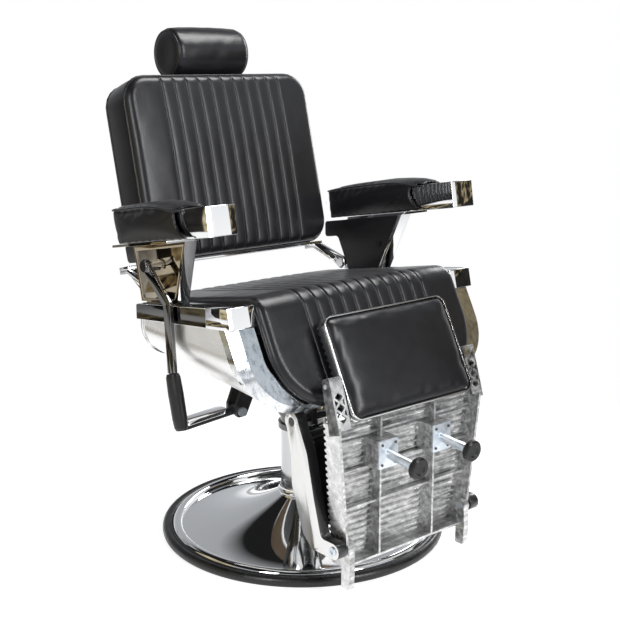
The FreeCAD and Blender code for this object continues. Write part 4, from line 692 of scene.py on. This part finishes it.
OLIVE = [(0.42, (0.02, 0.018, 0.014)), (0.47, (0.12, 0.10, 0.065)), (0.55, (0.24, 0.19, 0.11)),
         (0.60, (0.42, 0.35, 0.22)), (0.66, (0.05, 0.042, 0.03))]
BLACK = [(0.3, (0.01, 0.01, 0.01)), (0.7, (0.03, 0.028, 0.025))]
SAND = [(0.35, (0.16, 0.13, 0.08)), (0.5, (0.5, 0.43, 0.27)), (0.7, (0.7, 0.62, 0.45))]
GREY = [(0.35, (0.10, 0.10, 0.10)), (0.65, (0.55, 0.55, 0.57))]


def build_cards():
    """Things that the chrome reflects: a wall and a strip of floor at the left, and a wall at the right."""
    wall, low, high = leftward * 1.9, 0.2, 1.5
    rear, middle, front, near = (wall + towards * d for d in (-1.8, -0.62, -0.15, 1.2))
    card("left_card_rear", upright(rear, middle, low, high), 1.5, GREY)
    card("left_card_middle", upright(middle, front, low, high), 2.0, BLACK)
    card("left_card_front", upright(front, near, low, high), 2.0, SAND)
    above_floor = Vector((0, 0, 0.004))
    inner, outer = leftward * 1.36 + above_floor, leftward * 1.88 + above_floor
    behind, ahead = towards * -1.0, towards * 0.5
    card("left_card_floor", [inner + behind, outer + behind, outer + ahead, inner + ahead], 4.0, OLIVE)
    right_foot, along = Vector((1.29, -1.31, 0)), Vector((0.77, 0.637, 0))
    start, end = right_foot - along * 0.21, right_foot + along * 1.2
    low, border, high = 0.1, 0.82, 1.6
    card("right_card_low", upright(start, end, low, border), 3.0, BLACK)
    card("right_card_high", upright(start, end, border, high), 5.0, OLIVE)


build_world()
build_floor()
soft_light("top_softbox", (0.8, -0.2, 2.9), (0, 0, 0.6), (1.3, 1.3), 52)
soft_light("front_softbox", (0.35, -3.0, 2.0), (0, 0, 0.7), (0.5, 2.4), 48)
soft_light("left_softbox", (-3.0, -1.2, 1.9), (0, 0, 0.6), (0.8, 1.8), 34)
soft_light("right_softbox", (2.7, 0.9, 1.7), (0, 0, 0.6), (0.8, 1.8), 26)
build_cards()
build_camera()


# Sewn channels

PITCH, CHANNELS = 33.0, 10
REACH = PITCH * CHANNELS / 2
PUCKER_PITCH = 6.5


def channels(x, depth):
    """Fall of the face at x from the crown of its channel, and the distance from x to the nearest seam."""
    t = (x + REACH) / PITCH
    beside = np.abs(t - np.round(t)) * PITCH
    beyond = np.abs(np.abs(x) - REACH)
    near = np.where(np.abs(x) <= REACH + 1e-6, beside, beyond)
    roll = np.clip(1 - near / (PITCH / 2), 0, 1) ** 2.2
    stitch = np.exp(-(near / 1.5) ** 1.5)
    return depth * (0.42 * roll + 0.58 * stitch), near


def puckers(along, near, fade):
    """Small gathers that the thread pulls into the leather beside each seam."""
    return 0.28 * np.sin(along / PUCKER_PITCH * math.pi) * np.exp(-near / 5.0) * fade


def seam_columns(half, step=4.8):
    """Columns across a sewn face, close together at the seams and at the sides."""
    xs = set()
    beside_seam = (0, 0.8, 1.8, 3.2, 5.2, 8.0, 11.5, 16.5)
    for k in range(CHANNELS + 1):
        for d in beside_seam:
            for x in (-REACH + k * PITCH - d, -REACH + k * PITCH + d):
                if abs(x) < half - 2:
                    xs.add(round(x, 2))
    x = REACH + beside_seam[-1]
    while x < half - 1:
        xs |= {round(x, 2), round(-x, 2)}
        x += step
    for d in (0, 1.0, 2.5, 5, 9, 14):
        xs |= {round(half - d, 2), round(d - half, 2)}
    keep = []
    for x in sorted(xs):
        if not keep or x - keep[-1] > 0.35:
            keep.append(x)
    return np.array(keep)


def fitted(cols, widths, half, inner):
    """Grid of x: straight columns within inner, and beyond it columns drawn in to each row's half width."""
    beyond = (np.abs(cols)[:, None] - inner) / (half - inner)
    outer = np.sign(cols)[:, None] * (inner + beyond * (widths[None, :] - inner))
    return np.where(np.abs(cols)[:, None] <= inner, cols[:, None], outer)


def crest(share, power):
    """Swell that is 1 in the middle and 0 where share is -1 or 1."""
    return np.clip(1 - np.abs(share) ** power, 0, 1)


# Seat cushion

TILT, LEAN = rad(10.0), rad(28.0)
BEND = math.pi / 2 + TILT - LEAN
REAR_Y, NOSE, APRON_Z, HALF, CORNER = 222.0, 46.0, 403.0, 272.0, 114.0
PROUD, BOARD_GAP, SLAB = 22.0, 0.7, 75.0 / math.cos(TILT)
# Height of the top plane at y 0, and a point (y, z) on the leaning front plane.
TOP_Z, FRONT_Y, FRONT_Z = 578.5, -199.0, 551.0


def front_line(z, forward):
    """y of the seat's leaning front at a height, moved forward."""
    return FRONT_Y - (FRONT_Z - z) * math.tan(LEAN) - forward / math.cos(LEAN)


def seat_top(y):
    return TOP_Z - y * math.tan(TILT)


def meeting(forward, drop):
    """Where the top plane, lowered by drop, meets the front plane."""
    y = front_line(500, forward)
    for _ in range(40):
        y = front_line(seat_top(y) - drop, forward)
    return y, seat_top(y) - drop


nose_y, nose_z = meeting(PROUD, 0)
cut = NOSE * math.tan(BEND / 2)
top_len = (REAR_Y - nose_y) / math.cos(TILT) - cut
arc_len = NOSE * BEND
seat_len = top_len + arc_len + (nose_z - APRON_Z) / math.cos(LEAN) - cut
rear_pt = np.array([REAR_Y, seat_top(REAR_Y)])
t_top = np.array([-math.cos(TILT), math.sin(TILT)])
t_front = np.array([-math.sin(LEAN), -math.cos(LEAN)])
n_top = np.array([math.sin(TILT), math.cos(TILT)])
arc_centre = rear_pt + t_top * top_len - n_top * NOSE


def seat_base(s):
    """Point and outward normal, as (y, z), at a length s along the cushion's line from its rear."""
    s = s[..., None]
    turn = math.pi / 2 + TILT - np.clip((s - top_len) / NOSE, 0, BEND)
    normal = np.concatenate([-np.cos(turn), np.sin(turn)], -1)
    on_top = rear_pt + t_top * np.minimum(s, top_len)
    past = np.maximum(s - top_len - arc_len, 0)
    on_front = arc_centre + NOSE * normal + t_front * past
    return np.where(s <= top_len, on_top, on_front), normal


corner_len = CORNER / math.cos(LEAN)


def seat_half(s):
    """Half width of the cushion, whose apron has round lower corners."""
    k = np.clip(1 - (seat_len - s) / corner_len, 0, 1)
    return HALF - CORNER + CORNER * np.sqrt(1 - k * k)


def seat_distance(x, s):
    """Distance from the cushion's outline."""
    q = seat_len - s
    side = HALF - np.abs(x)
    kx = np.clip((np.abs(x) - (HALF - CORNER)) / CORNER, 0, None)
    kq = np.clip((corner_len - q) / corner_len, 0, None)
    round_corner = np.where((kx > 0) & (kq > 0), CORNER * (1 - np.hypot(kx, kq)), 1e9)
    return np.minimum(np.minimum(np.minimum(side, q), round_corner), s)


def seat_rows():
    """Lengths along the cushion, close together at both ends and on the apron."""
    rows = []
    s = 0.0
    while s < seat_len:
        rows.append(s)
        left = seat_len - s
        s += 1.5 if (s < 12 or left < 14) else (4.0 if left < 150 else 6.0)
    return np.array(rows + [seat_len])


def seat_underside(X, along, base):
    """Sheet under the cushion: on the board, over the heel and down the front board."""
    heel_y, heel_z = meeting(BOARD_GAP, SLAB)
    slab = along <= top_len
    y = np.where(slab, np.maximum(base[..., 0], heel_y), heel_y)
    z = np.where(slab, seat_top(y) - SLAB, heel_z)
    down = along > top_len + arc_len
    low = np.minimum(base[..., 1] + 4, heel_z)
    return np.stack([X, np.where(down, front_line(low, BOARD_GAP), y), np.where(down, low, z)], -1)


def build_seat():
    s = seat_rows()
    X = fitted(seam_columns(HALF), seat_half(s), HALF, 150.0)
    along = np.broadcast_to(s[None, :], X.shape)
    base, normal = seat_base(along)
    d = seat_distance(X, along)
    fall, near = channels(X, 4.2)
    fade = np.clip(d / 16.0, 0, 1)
    flat = np.stack([X, base[..., 0], base[..., 1]], -1)
    outward = np.stack([np.zeros_like(X), normal[..., 0], normal[..., 1]], -1)
    rough = 0.55 * wavy(flat, 120.0, 3) * np.clip(d / 20, 0, 1)
    rise = 4.0 * crest(X / HALF, 4) - 1.5 - (fall * fade + edge_sink(d, 15.0)) + puckers(along, near, fade)
    F = flat + outward * (rise + rough)[..., None]
    B = seat_underside(X, along, base)
    front, back = outline(F), outline(B)
    rings = [front + (back - front) * t for t in (0.15, 0.5, 0.85)]
    seat = closed_cushion("seat_upholstery", F, B, rings)
    return paint(seat, M["leather"]), cord("seat_piping", front[::2], 2.6)


seat, seat_piping = build_seat()
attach(seat, "seat")
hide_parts("seat_cushion")
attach(seat_piping, "seat")


# Back

BACK_TILT = rad(14.1)
BACK_FOOT = (206.0, 622.4)
BACK_HEIGHT, BACK_HALF, BACK_CORNER, BACK_DEPTH = 415.0, 256.0, 56.0, 118.0


def leaning(foot, tilt, x, n, h):
    """World points from x, the depth n behind a leaning face and the height h along it."""
    x, n, h = np.broadcast_arrays(x, n, h)
    y = foot[0] + n * math.cos(tilt) + h * math.sin(tilt)
    z = foot[1] - n * math.sin(tilt) + h * math.cos(tilt)
    return np.stack([x, y, z], -1)


def rounded_half(h, height, half, corner):
    """Half width of a rounded rectangle at a height."""
    k = np.clip(1 - np.minimum(h, height - h) / corner, 0, 1)
    return half - corner + corner * np.sqrt(1 - k * k)


def rounded_distance(x, h, height, half, corner):
    """Distance from the outline of a rounded rectangle."""
    d = np.minimum(h, height - h)
    kx = np.clip(np.abs(x) - (half - corner), 0, None)
    kh = np.clip(corner - d, 0, None)
    round_corner = np.where((kx > 0) & (kh > 0), corner - np.hypot(kx, kh), 1e9)
    return np.minimum(np.minimum(half - np.abs(x), d), round_corner)


def back_rings(front, back):
    """Outlines between the front and the rear of the back, bulged a little at mid depth."""
    up_axis = np.array([math.cos(BACK_TILT), -math.sin(BACK_TILT)])
    out = front - front.mean(0)
    out[:, 1:] -= np.outer(out[:, 1:] @ up_axis, up_axis)
    out /= np.linalg.norm(out, axis=1)[:, None]
    steps = (0.05, 0.15, 0.3, 0.45, 0.6, 0.75, 0.88, 0.96)
    return [front + (back - front) * t + out * 2.6 * math.sin(math.pi * t) ** 0.7 for t in steps]


def build_back():
    ends = np.array([0, 0.8, 2, 4, 7, 11, 16, 22, 29, 37, 46, 56])
    h = np.concatenate([ends, np.arange(64, BACK_HEIGHT - 60, 8.0), BACK_HEIGHT - ends[::-1]])
    widths = rounded_half(h, BACK_HEIGHT, BACK_HALF, BACK_CORNER)
    X = fitted(seam_columns(BACK_HALF), widths, BACK_HALF, 170.0)
    H = np.broadcast_to(h[None, :], X.shape)
    d = rounded_distance(X, H, BACK_HEIGHT, BACK_HALF, BACK_CORNER)
    fall, near = channels(X, 5.0)
    fade = np.clip(d / 18.0, 0, 1)
    across, up = X / BACK_HALF, 2 * H / BACK_HEIGHT - 1
    crown = 11.0 * crest(up, 2) ** 0.8 * crest(across, 4)
    rough = 0.6 * wavy(leaning(BACK_FOOT, BACK_TILT, X, 0 * X, H), 150.0, 11) * np.clip(d / 20, 0, 1)
    rise = crown - fall * fade - edge_sink(d, 18.0) + puckers(H, near, fade) + rough + 3.0
    F = leaning(BACK_FOOT, BACK_TILT, X, -rise, H)
    rear = BACK_DEPTH - edge_sink(d, 10.0) + 3.0 * crest(up, 4) * crest(across, 6) - 3.0
    inset = 4.0
    B = leaning(BACK_FOOT, BACK_TILT, X * (1 - inset / BACK_HALF), rear,
                inset + H * (BACK_HEIGHT - 2 * inset) / BACK_HEIGHT)
    front, back = outline(F), outline(B)
    body = closed_cushion("back_upholstery", F, B, back_rings(front, back))
    cords = [cord("back_piping_front", front[::2], 2.8),
             cord("back_piping_rear", (front + (back - front) * 0.985)[::2], 2.6)]
    return paint(body, M["leather"]), join("back_piping", cords)


back, back_piping = build_back()
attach(back, "backrest")
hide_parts("back_cushion", "back_panel")
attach(back_piping, "backrest")


# Headrest pillow

PILLOW_Y, PILLOW_Z, PILLOW_HALF = 379.1, 1070.4, 101.0
PILLOW_STEPS = 96


def pillow_profile():
    """(radius, x) points of the roll, from one flat end to the other."""
    end = [(0.0, 3), (20, 2.2), (38, 1.2), (48, 1.6), (51.5, 3.4)]
    turn = [PILLOW_HALF - k for k in (5, 8, 13, 20, 30)]
    body = []
    for x in [-k for k in turn] + list(np.arange(-66, 67, 6.0)) + turn[::-1]:
        full = 56.0 + 5.0 * math.sqrt(max(0, 1 - (abs(x) / PILLOW_HALF) ** 2.4))
        body.append((full - 0.8 * float(edge_sink(PILLOW_HALF - abs(x) - 3, 11.0)), x))
    near_end = [(r, k - PILLOW_HALF) for r, k in end]
    far_end = [(r, PILLOW_HALF - k) for r, k in reversed(end)]
    return near_end + body + far_end


def build_pillow():
    ang = np.linspace(0, 2 * math.pi, PILLOW_STEPS, endpoint=False)
    profile = np.array(pillow_profile())
    r, x = profile[:, :1], profile[:, 1:]
    outward = np.stack(np.broadcast_arrays(0 * x, np.cos(ang), np.sin(ang)), -1)
    middle = np.stack([np.broadcast_to(x, outward.shape[:2]), np.full(outward.shape[:2], PILLOW_Y),
                       np.full(outward.shape[:2], PILLOW_Z)], -1)
    verts = middle + r[..., None] * outward
    gather = 0.5 * np.sin(ang * 23)[None, :] * np.exp(-(PILLOW_HALF - np.abs(x)) / 14.0) * (r > 40)
    sag = 0.9 * wavy(verts, 110.0, 21)
    verts = verts + outward * ((gather + sag) * (r > 20))[..., None]
    roll = recalc(make_object("headrest_roll", verts.reshape(-1, 3),
                              grid_faces(len(profile), PILLOW_STEPS, wrap_v=True)))
    cords = []
    for end in (4.2 - PILLOW_HALF, PILLOW_HALF - 4.2):
        line = [(end, PILLOW_Y + 52.5 * math.cos(a), PILLOW_Z + 52.5 * math.sin(a)) for a in ang[::2]]
        cords.append(cord("pipe", line, 2.4))
    return paint(roll, M["leather"]), join("headrest_piping", cords)


pillow, pillow_piping = build_pillow()
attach(pillow, "headrest")
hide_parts("headrest_pillow")
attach(pillow_piping, "headrest")


# Calf pad

CALF_TILT = rad(28.0)
CALF_FOOT = (-367.0, 381.0)
CALF_HEIGHT, CALF_HALF, CALF_CORNER, CALF_DEPTH = 206.4, 164.7, 19.0, 18.0
TRAY_WALL, LUG_HEIGHT = 3.3, 62


def build_calf():
    ends = np.array([0, 0.8, 2, 4, 7, 11, 15, 19, 25])
    h = np.concatenate([ends, np.arange(32, CALF_HEIGHT - 30, 6.0), CALF_HEIGHT - ends[::-1]])
    inner = np.arange(-CALF_HALF + 32, CALF_HALF - 30, 7.0)
    x = np.concatenate([ends - CALF_HALF, inner, CALF_HALF - ends[::-1]])
    widths = rounded_half(h, CALF_HEIGHT, CALF_HALF, CALF_CORNER)
    X = x[:, None] * (widths / CALF_HALF)[None, :]
    H = np.broadcast_to(h[None, :], X.shape)
    d = rounded_distance(X, H, CALF_HEIGHT, CALF_HALF, CALF_CORNER)
    crown = 8.5 * crest(2 * H / CALF_HEIGHT - 1, 2) ** 0.7 * crest(X / CALF_HALF, 4)
    base = leaning(CALF_FOOT, CALF_TILT, X, 0 * X, H + TRAY_WALL)
    rim = 0.42 * edge_sink(d, 28.0) + edge_sink(d, 5.0)
    creases = 1.3 * wavy(base, 55.0, 31) * np.exp(-((d - 16) / 14.0) ** 2) + 0.4 * wavy(base, 90.0, 37)
    from_side, from_lug = CALF_HALF - 6 - np.abs(X), H - LUG_HEIGHT
    pinch = 3.5 * np.exp(-((from_side / 15.0) ** 2 + (from_lug / 13.0) ** 2))
    rise = crown + 4.0 - rim + creases * np.clip(d / 15, 0, 1) - pinch
    F = leaning(CALF_FOOT, CALF_TILT, X, -rise, H + TRAY_WALL)
    B = leaning(CALF_FOOT, CALF_TILT, X, 0 * X + CALF_DEPTH, H + TRAY_WALL)
    front, back = outline(F), outline(B)
    pad = closed_cushion("calf_upholstery", F, B, [front + (back - front) * t for t in (0.2, 0.6)])
    return paint(pad, M["leather"])


calf = build_calf()
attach(calf, "calf_rest")
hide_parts("calf_pad")


# Arm pads

ARM_TILT, ARM_Y, ARM_Z = rad(9.5), -162.0, 791.7
PAD_IN, PAD_OUT, UNDER = 290.0, 375.0, -59.5
PRESSURE, STIFFNESS, CLOTH_FRAMES = 4.0, 12, 20


def arm_point(x, along, up):
    """World point from a place along the arm and above its top plane."""
    return (x, ARM_Y + along * math.cos(ARM_TILT) + up * math.sin(ARM_TILT),
            ARM_Z - along * math.sin(ARM_TILT) + up * math.cos(ARM_TILT))


def mesh_points(obj):
    flat = np.empty(len(obj.data.vertices) * 3)
    obj.data.vertices.foreach_get("co", flat)
    return flat.reshape(-1, 3)


def shrink(obj, depth):
    """Move an object's points inwards."""
    bm = bmesh.new()
    bm.from_mesh(obj.data)
    bm.normal_update()
    for v in bm.verts:
        v.co -= v.normal * depth * MM
    bm.to_mesh(obj.data)
    bm.free()


def remesh(obj, voxel):
    mod = obj.modifiers.new("remesh", "REMESH")
    mod.mode = "VOXEL"
    mod.voxel_size = voxel * MM
    apply_modifiers(obj)
    mod = obj.modifiers.new("soften", "SMOOTH")
    mod.factor = 0.5
    mod.iterations = 3
    apply_modifiers(obj)


def press_cover(obj, pinned):
    """Cloth simulation of a cover under pressure, held at the pinned points."""
    hold = obj.vertex_groups.new(name="held")
    for i in np.nonzero(pinned(mesh_points(obj) / MM))[0]:
        hold.add([int(i)], 1.0, "REPLACE")
    cloth = obj.modifiers.new("cover", "CLOTH")
    cloth.settings.quality = 6
    cloth.settings.mass = 0.3
    cloth.settings.tension_stiffness = STIFFNESS
    cloth.settings.compression_stiffness = STIFFNESS
    cloth.settings.shear_stiffness = STIFFNESS / 3
    cloth.settings.bending_stiffness = 0.6
    cloth.settings.use_pressure = True
    cloth.settings.uniform_pressure_force = PRESSURE
    cloth.settings.vertex_group_mass = "held"
    cloth.settings.effector_weights.gravity = 0.0
    cloth.point_cache.frame_start = 1
    cloth.point_cache.frame_end = CLOTH_FRAMES
    for frame_number in range(1, CLOTH_FRAMES + 1):
        scene.frame_set(frame_number)
    apply_modifiers(obj)
    scene.frame_set(1)
    obj.vertex_groups.clear()


def swell(obj, pinned, cap, depth, voxel=4.5):
    """Remesh a pad, let its cover swell under pressure and keep each point within a cap."""
    shrink(obj, depth)
    remesh(obj, voxel)
    start = mesh_points(obj)
    press_cover(obj, pinned)
    move = mesh_points(obj) - start
    size = np.linalg.norm(move, axis=1, keepdims=True)
    move *= np.minimum(1.0, cap * MM / np.maximum(size, 1e-9))
    obj.data.vertices.foreach_set("co", (start + move).ravel())
    obj.data.update()
    mod = obj.modifiers.new("finer", "SUBSURF")
    mod.levels = 1
    apply_modifiers(obj)
    obj.data.shade_smooth()
    return obj


def held_pad(P):
    """Points of the pad that lie on the frame or round the chrome block."""
    along = (P[:, 1] - ARM_Y) * math.cos(ARM_TILT) - (P[:, 2] - ARM_Z) * math.sin(ARM_TILT)
    up = (P[:, 1] - ARM_Y) * math.sin(ARM_TILT) + (P[:, 2] - ARM_Z) * math.cos(ARM_TILT)
    pocket = (along < 155) & (P[:, 0] > PAD_IN + 3) & (P[:, 0] < PAD_OUT - 5) & (up < 3)
    return (up < UNDER + 4) | pocket | (along < 84)


def edge_height(along):
    """Height of the pad's upper edge above the arm's top plane."""
    return float(np.interp(along, (0, 70, 97, 120, 160, 210, 338, 438), (-7, -6, -3, 3, 10, 14, 14, 10)))


def pad_seam():
    """Line of the piping round the pad's top: both sides, the slanting rear and the tongue over the block."""
    points = [(PAD_OUT + 1.0, along, edge_height(along) - 1.0) for along in np.linspace(335, 100, 40)]
    middle, half = (PAD_IN + PAD_OUT) / 2, (PAD_OUT - PAD_IN) / 2
    tongue_tip, root_out, root_in = 70, 97, 120
    for a in np.linspace(0.12, math.pi - 0.12, 24):
        lead = root_out + (root_in - root_out) * a / math.pi
        along = lead - (lead - tongue_tip) * math.sin(a) + 1
        up = edge_height(tongue_tip) + 2.0 + 3.0 * math.sin(a)
        points.append((middle + half * math.cos(a), along, up))
    points += [(PAD_IN - 1.0, along, edge_height(along) - 1.0) for along in np.linspace(root_in, 428, 46)]
    for t in np.linspace(0.06, 0.94, 16):
        along = 433 - (433 - 339) * t
        crown = 6.0 * math.sin(math.pi * t)
        points.append((PAD_IN + (PAD_OUT - PAD_IN) * t, along, edge_height(along) - 2.0 + crown))
    return [arm_point(*q) for q in points]


def relaxed(points, turns=6):
    """Closed line relaxed a few times so that its corners bend."""
    P = np.array(points, float)
    for _ in range(turns):
        P = 0.5 * P + 0.25 * (np.roll(P, 1, 0) + np.roll(P, -1, 0))
    return P


pad = linked("arm_rest", frame["nodes"]["arm_pad_left"].data.copy())
paint(swell(pad, held_pad, 3.5, 1.6), M["leather"])
pad_piping = cord("arm_piping", relaxed(pad_seam()), 2.0)
for side in BOTH:
    body = pad if side == "left" else mirror_copy(pad, "arm_rest_right")
    line = pad_piping if side == "left" else mirror_copy(pad_piping, "arm_piping_right")
    for piece in (body, line):
        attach(piece, "seat")
    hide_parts("arm_pad_" + side)


# Turned base

def turned(node, profile, mat, steps, sharp):
    """Turned form of a piece of the base, with finer steps, which stands for its node."""
    obj = paint(spin(node + "_turned", profile, steps, sharp), mat)
    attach(obj, "base")
    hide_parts(node)


cover = [(302.7, 9.0)] + through((302.7, 15), (292.2, 25), (277.7, 14), 24) + [(275.5, 13.6), (272.5, 13.8)]
cover += through((270.7, 14), (150, 40), (50.4, 86), 60) + [(50.4, 83.5)]
turned("base_cover", cover, M["chrome"], 320, 30)
rim = [(303, 0.2), (320, 0.2)] + through((322.5, 1.0), (325, 8), (324, 14), 6)
rim += through((322.5, 16.6), (318, 19.8), (313, 20), 8)
rim += [(311.5, 19.2), (310, 19.2), (308.5, 20), (304.5, 20), (303, 18.5), (303, 0.2)]
turned("base_rubber_rim", rim, M["rubber"], 256, 40)
ring = [(50.3, 86.4), (57.6, 86.4), (58.0, 87.2), (58.0, 89.2)]
ring += through((57.2, 90.2), (54.0, 93.5), (52.4, 100.6), 10) + [(51.6, 101.3), (50.3, 101.3), (50.3, 86.4)]
turned("sleeve_foot_ring", ring, M["chrome"], 192, 40)


# Metal with rounded edges

def bevelled(node, width, segments, mat, edge=None):
    """A node's form with its edges rounded, which stands for the node. edge is the finish of the rounding."""
    src = frame["nodes"][node]
    mesh = src.data.copy()
    obj = paint(linked(node + "_finish", mesh), mat)
    bm = bmesh.new()
    bm.from_mesh(mesh)
    bmesh.ops.remove_doubles(bm, verts=bm.verts, dist=2e-6)
    bmesh.ops.dissolve_limit(bm, angle_limit=rad(0.6), verts=bm.verts, edges=bm.edges)
    bm.to_mesh(mesh)
    bm.free()
    mod = obj.modifiers.new("bevel", "BEVEL")
    mod.width = width * MM
    mod.segments = segments
    mod.limit_method = "ANGLE"
    mod.angle_limit = rad(30)
    if edge:
        mesh.materials.append(edge)
        mod.material = 1
    apply_modifiers(obj)
    smooth_by_angle(obj, 40)
    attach(obj, src["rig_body"])
    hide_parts(node)
    return obj


def sideways(face):
    """Whether a face looks sideways, away from the chair's middle."""
    return abs(face.normal.x) > 0.9 and face.normal.x * face.center.x > 0


# Bounds of the painted shade under the rear of the arm pads.
PAD_SHADE_Y, PAD_SHADE_Z = 30, 695


def frame_shade_and_reflection(face):
    """Painted shade, in smoked chrome, under the arm pad's rear, and a painted brown reflection on the outer
    side.
    """
    if face.center.y > PAD_SHADE_Y * MM and face.center.z > PAD_SHADE_Z * MM:
        return M["smoked_and_shade"]
    return M["brown_reflection"] if sideways(face) else None


PLATE_FOOT, PLATE_TOP, WALL_X, WALL_SLOPE = 68, 383, 167, 0.105


def cast_finish(face):
    """Bright side walls, and lattice arms with painted shade on their sides and a painted highlight on their
    fronts.
    """
    if face.material_index:
        return None
    x, z = abs(face.center.x) / MM, face.center.z / MM
    on_side = abs(face.normal.x) > 0.9
    if z > PLATE_TOP and on_side:
        return M["cast_shade"]
    if z > PLATE_TOP:
        return M["ridge_and_highlight"] if face.normal.y < -0.8 else None
    outermost = x > WALL_X + WALL_SLOPE * (z - PLATE_FOOT)
    return M["ridge_and_highlight"] if on_side and outermost else None


for side in BOTH:
    bevelled("arm_block_" + side, 1.0, 2, M["chrome"])
    refinish(bevelled("arm_frame_" + side, 1.2, 3, M["chrome"]), [M["smoked_and_shade"], M["brown_reflection"]], frame_shade_and_reflection)
    # The arm plate's brown is a painted reflection.
    bevelled("arm_plate_" + side, 0.8, 2, M["brown_reflection"])
    bevelled("rail_cap_" + side, 1.0, 2, M["chrome"])
    bevelled("side_rail_" + side, 1.4, 3, M["smoked_and_shade"], M["chrome"])
    bevelled("back_bracket_" + side, 1.0, 2, M["chrome"])
    bevelled("arm_panel_" + side, 2.5, 4, M["leather"])
bevelled("recline_lever", 1.3, 3, M["smoked_and_shade"], M["chrome"])
bevelled("back_crossbar", 1.2, 3, M["chrome"])
bevelled("pump_lever_pad", 0.8, 2, M["chrome"])
bevelled("peg_mounts", 0.5, 2, M["zinc"])
bevelled("calf_frame", 0.7, 2, M["alu"])
refinish(bevelled("footplate", 0.7, 1, M["cast"], M["ridge_and_highlight"]), [M["cast_shade"]], cast_finish)
for side in BOTH:
    arm = bevelled("legrest_arm_" + side, 0.8, 2, M["enamel"])
    refinish(arm, [M["alu"]], lambda face: M["alu"] if sideways(face) else None)


# Black sheet between the legrest's arms, standing in for the shade behind the footplate

SHADE_SHEET_LINE = [(-208, 300), (-214, 278), (-217, 214), (-252, 123)]
SHADE_SHEET_RIM, SHADE_SHEET_HALF, RIM_FOLD = 168, 178.4, 3
RIVET_X, RIVET_PITCH, RIVET_PROUD = 148, 17.0, 4.5


def rivet(x, z):
    """Rivet head on the front of the black sheet."""
    y = float(np.interp(z, [q[1] for q in reversed(SHADE_SHEET_LINE)], [q[0] for q in reversed(SHADE_SHEET_LINE)]))
    profile = [(0.01, -2.4), (1.8, -1.8), (2.8, 0), (2.8, 2.5)]
    return paint(spin("rivet", profile, 12, centre=(x, y - RIVET_PROUD, z), along_y=True), M["zinc"])


def build_shade_sheet():
    """Black sheet between the legrest's arms, with folded rims and two rows of rivets, which stands in for
    the shade behind the footplate.
    """
    across = ((-SHADE_SHEET_HALF, 0), (-SHADE_SHEET_RIM, -RIM_FOLD), (0, -RIM_FOLD), (SHADE_SHEET_RIM, -RIM_FOLD), (SHADE_SHEET_HALF, 0))
    verts = [(x, y + fold, z) for y, z in SHADE_SHEET_LINE for x, fold in across]
    shade_sheet = make_object("legrest_shade_sheet", verts, grid_faces(len(SHADE_SHEET_LINE), len(across)))
    mod = shade_sheet.modifiers.new("gauge", "SOLIDIFY")
    mod.thickness = 2.0 * MM
    apply_modifiers(shade_sheet)
    smooth_by_angle(shade_sheet, 20)
    heads = [rivet(side * RIVET_X, z) for side in (-1, 1) for z in np.arange(140, 296, RIVET_PITCH)]
    return paint(shade_sheet, M["enamel"]), join("legrest_shade_sheet_rivets", heads)


shade_sheet, rivets = build_shade_sheet()
for piece in (shade_sheet, rivets):
    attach(piece, "legrest")
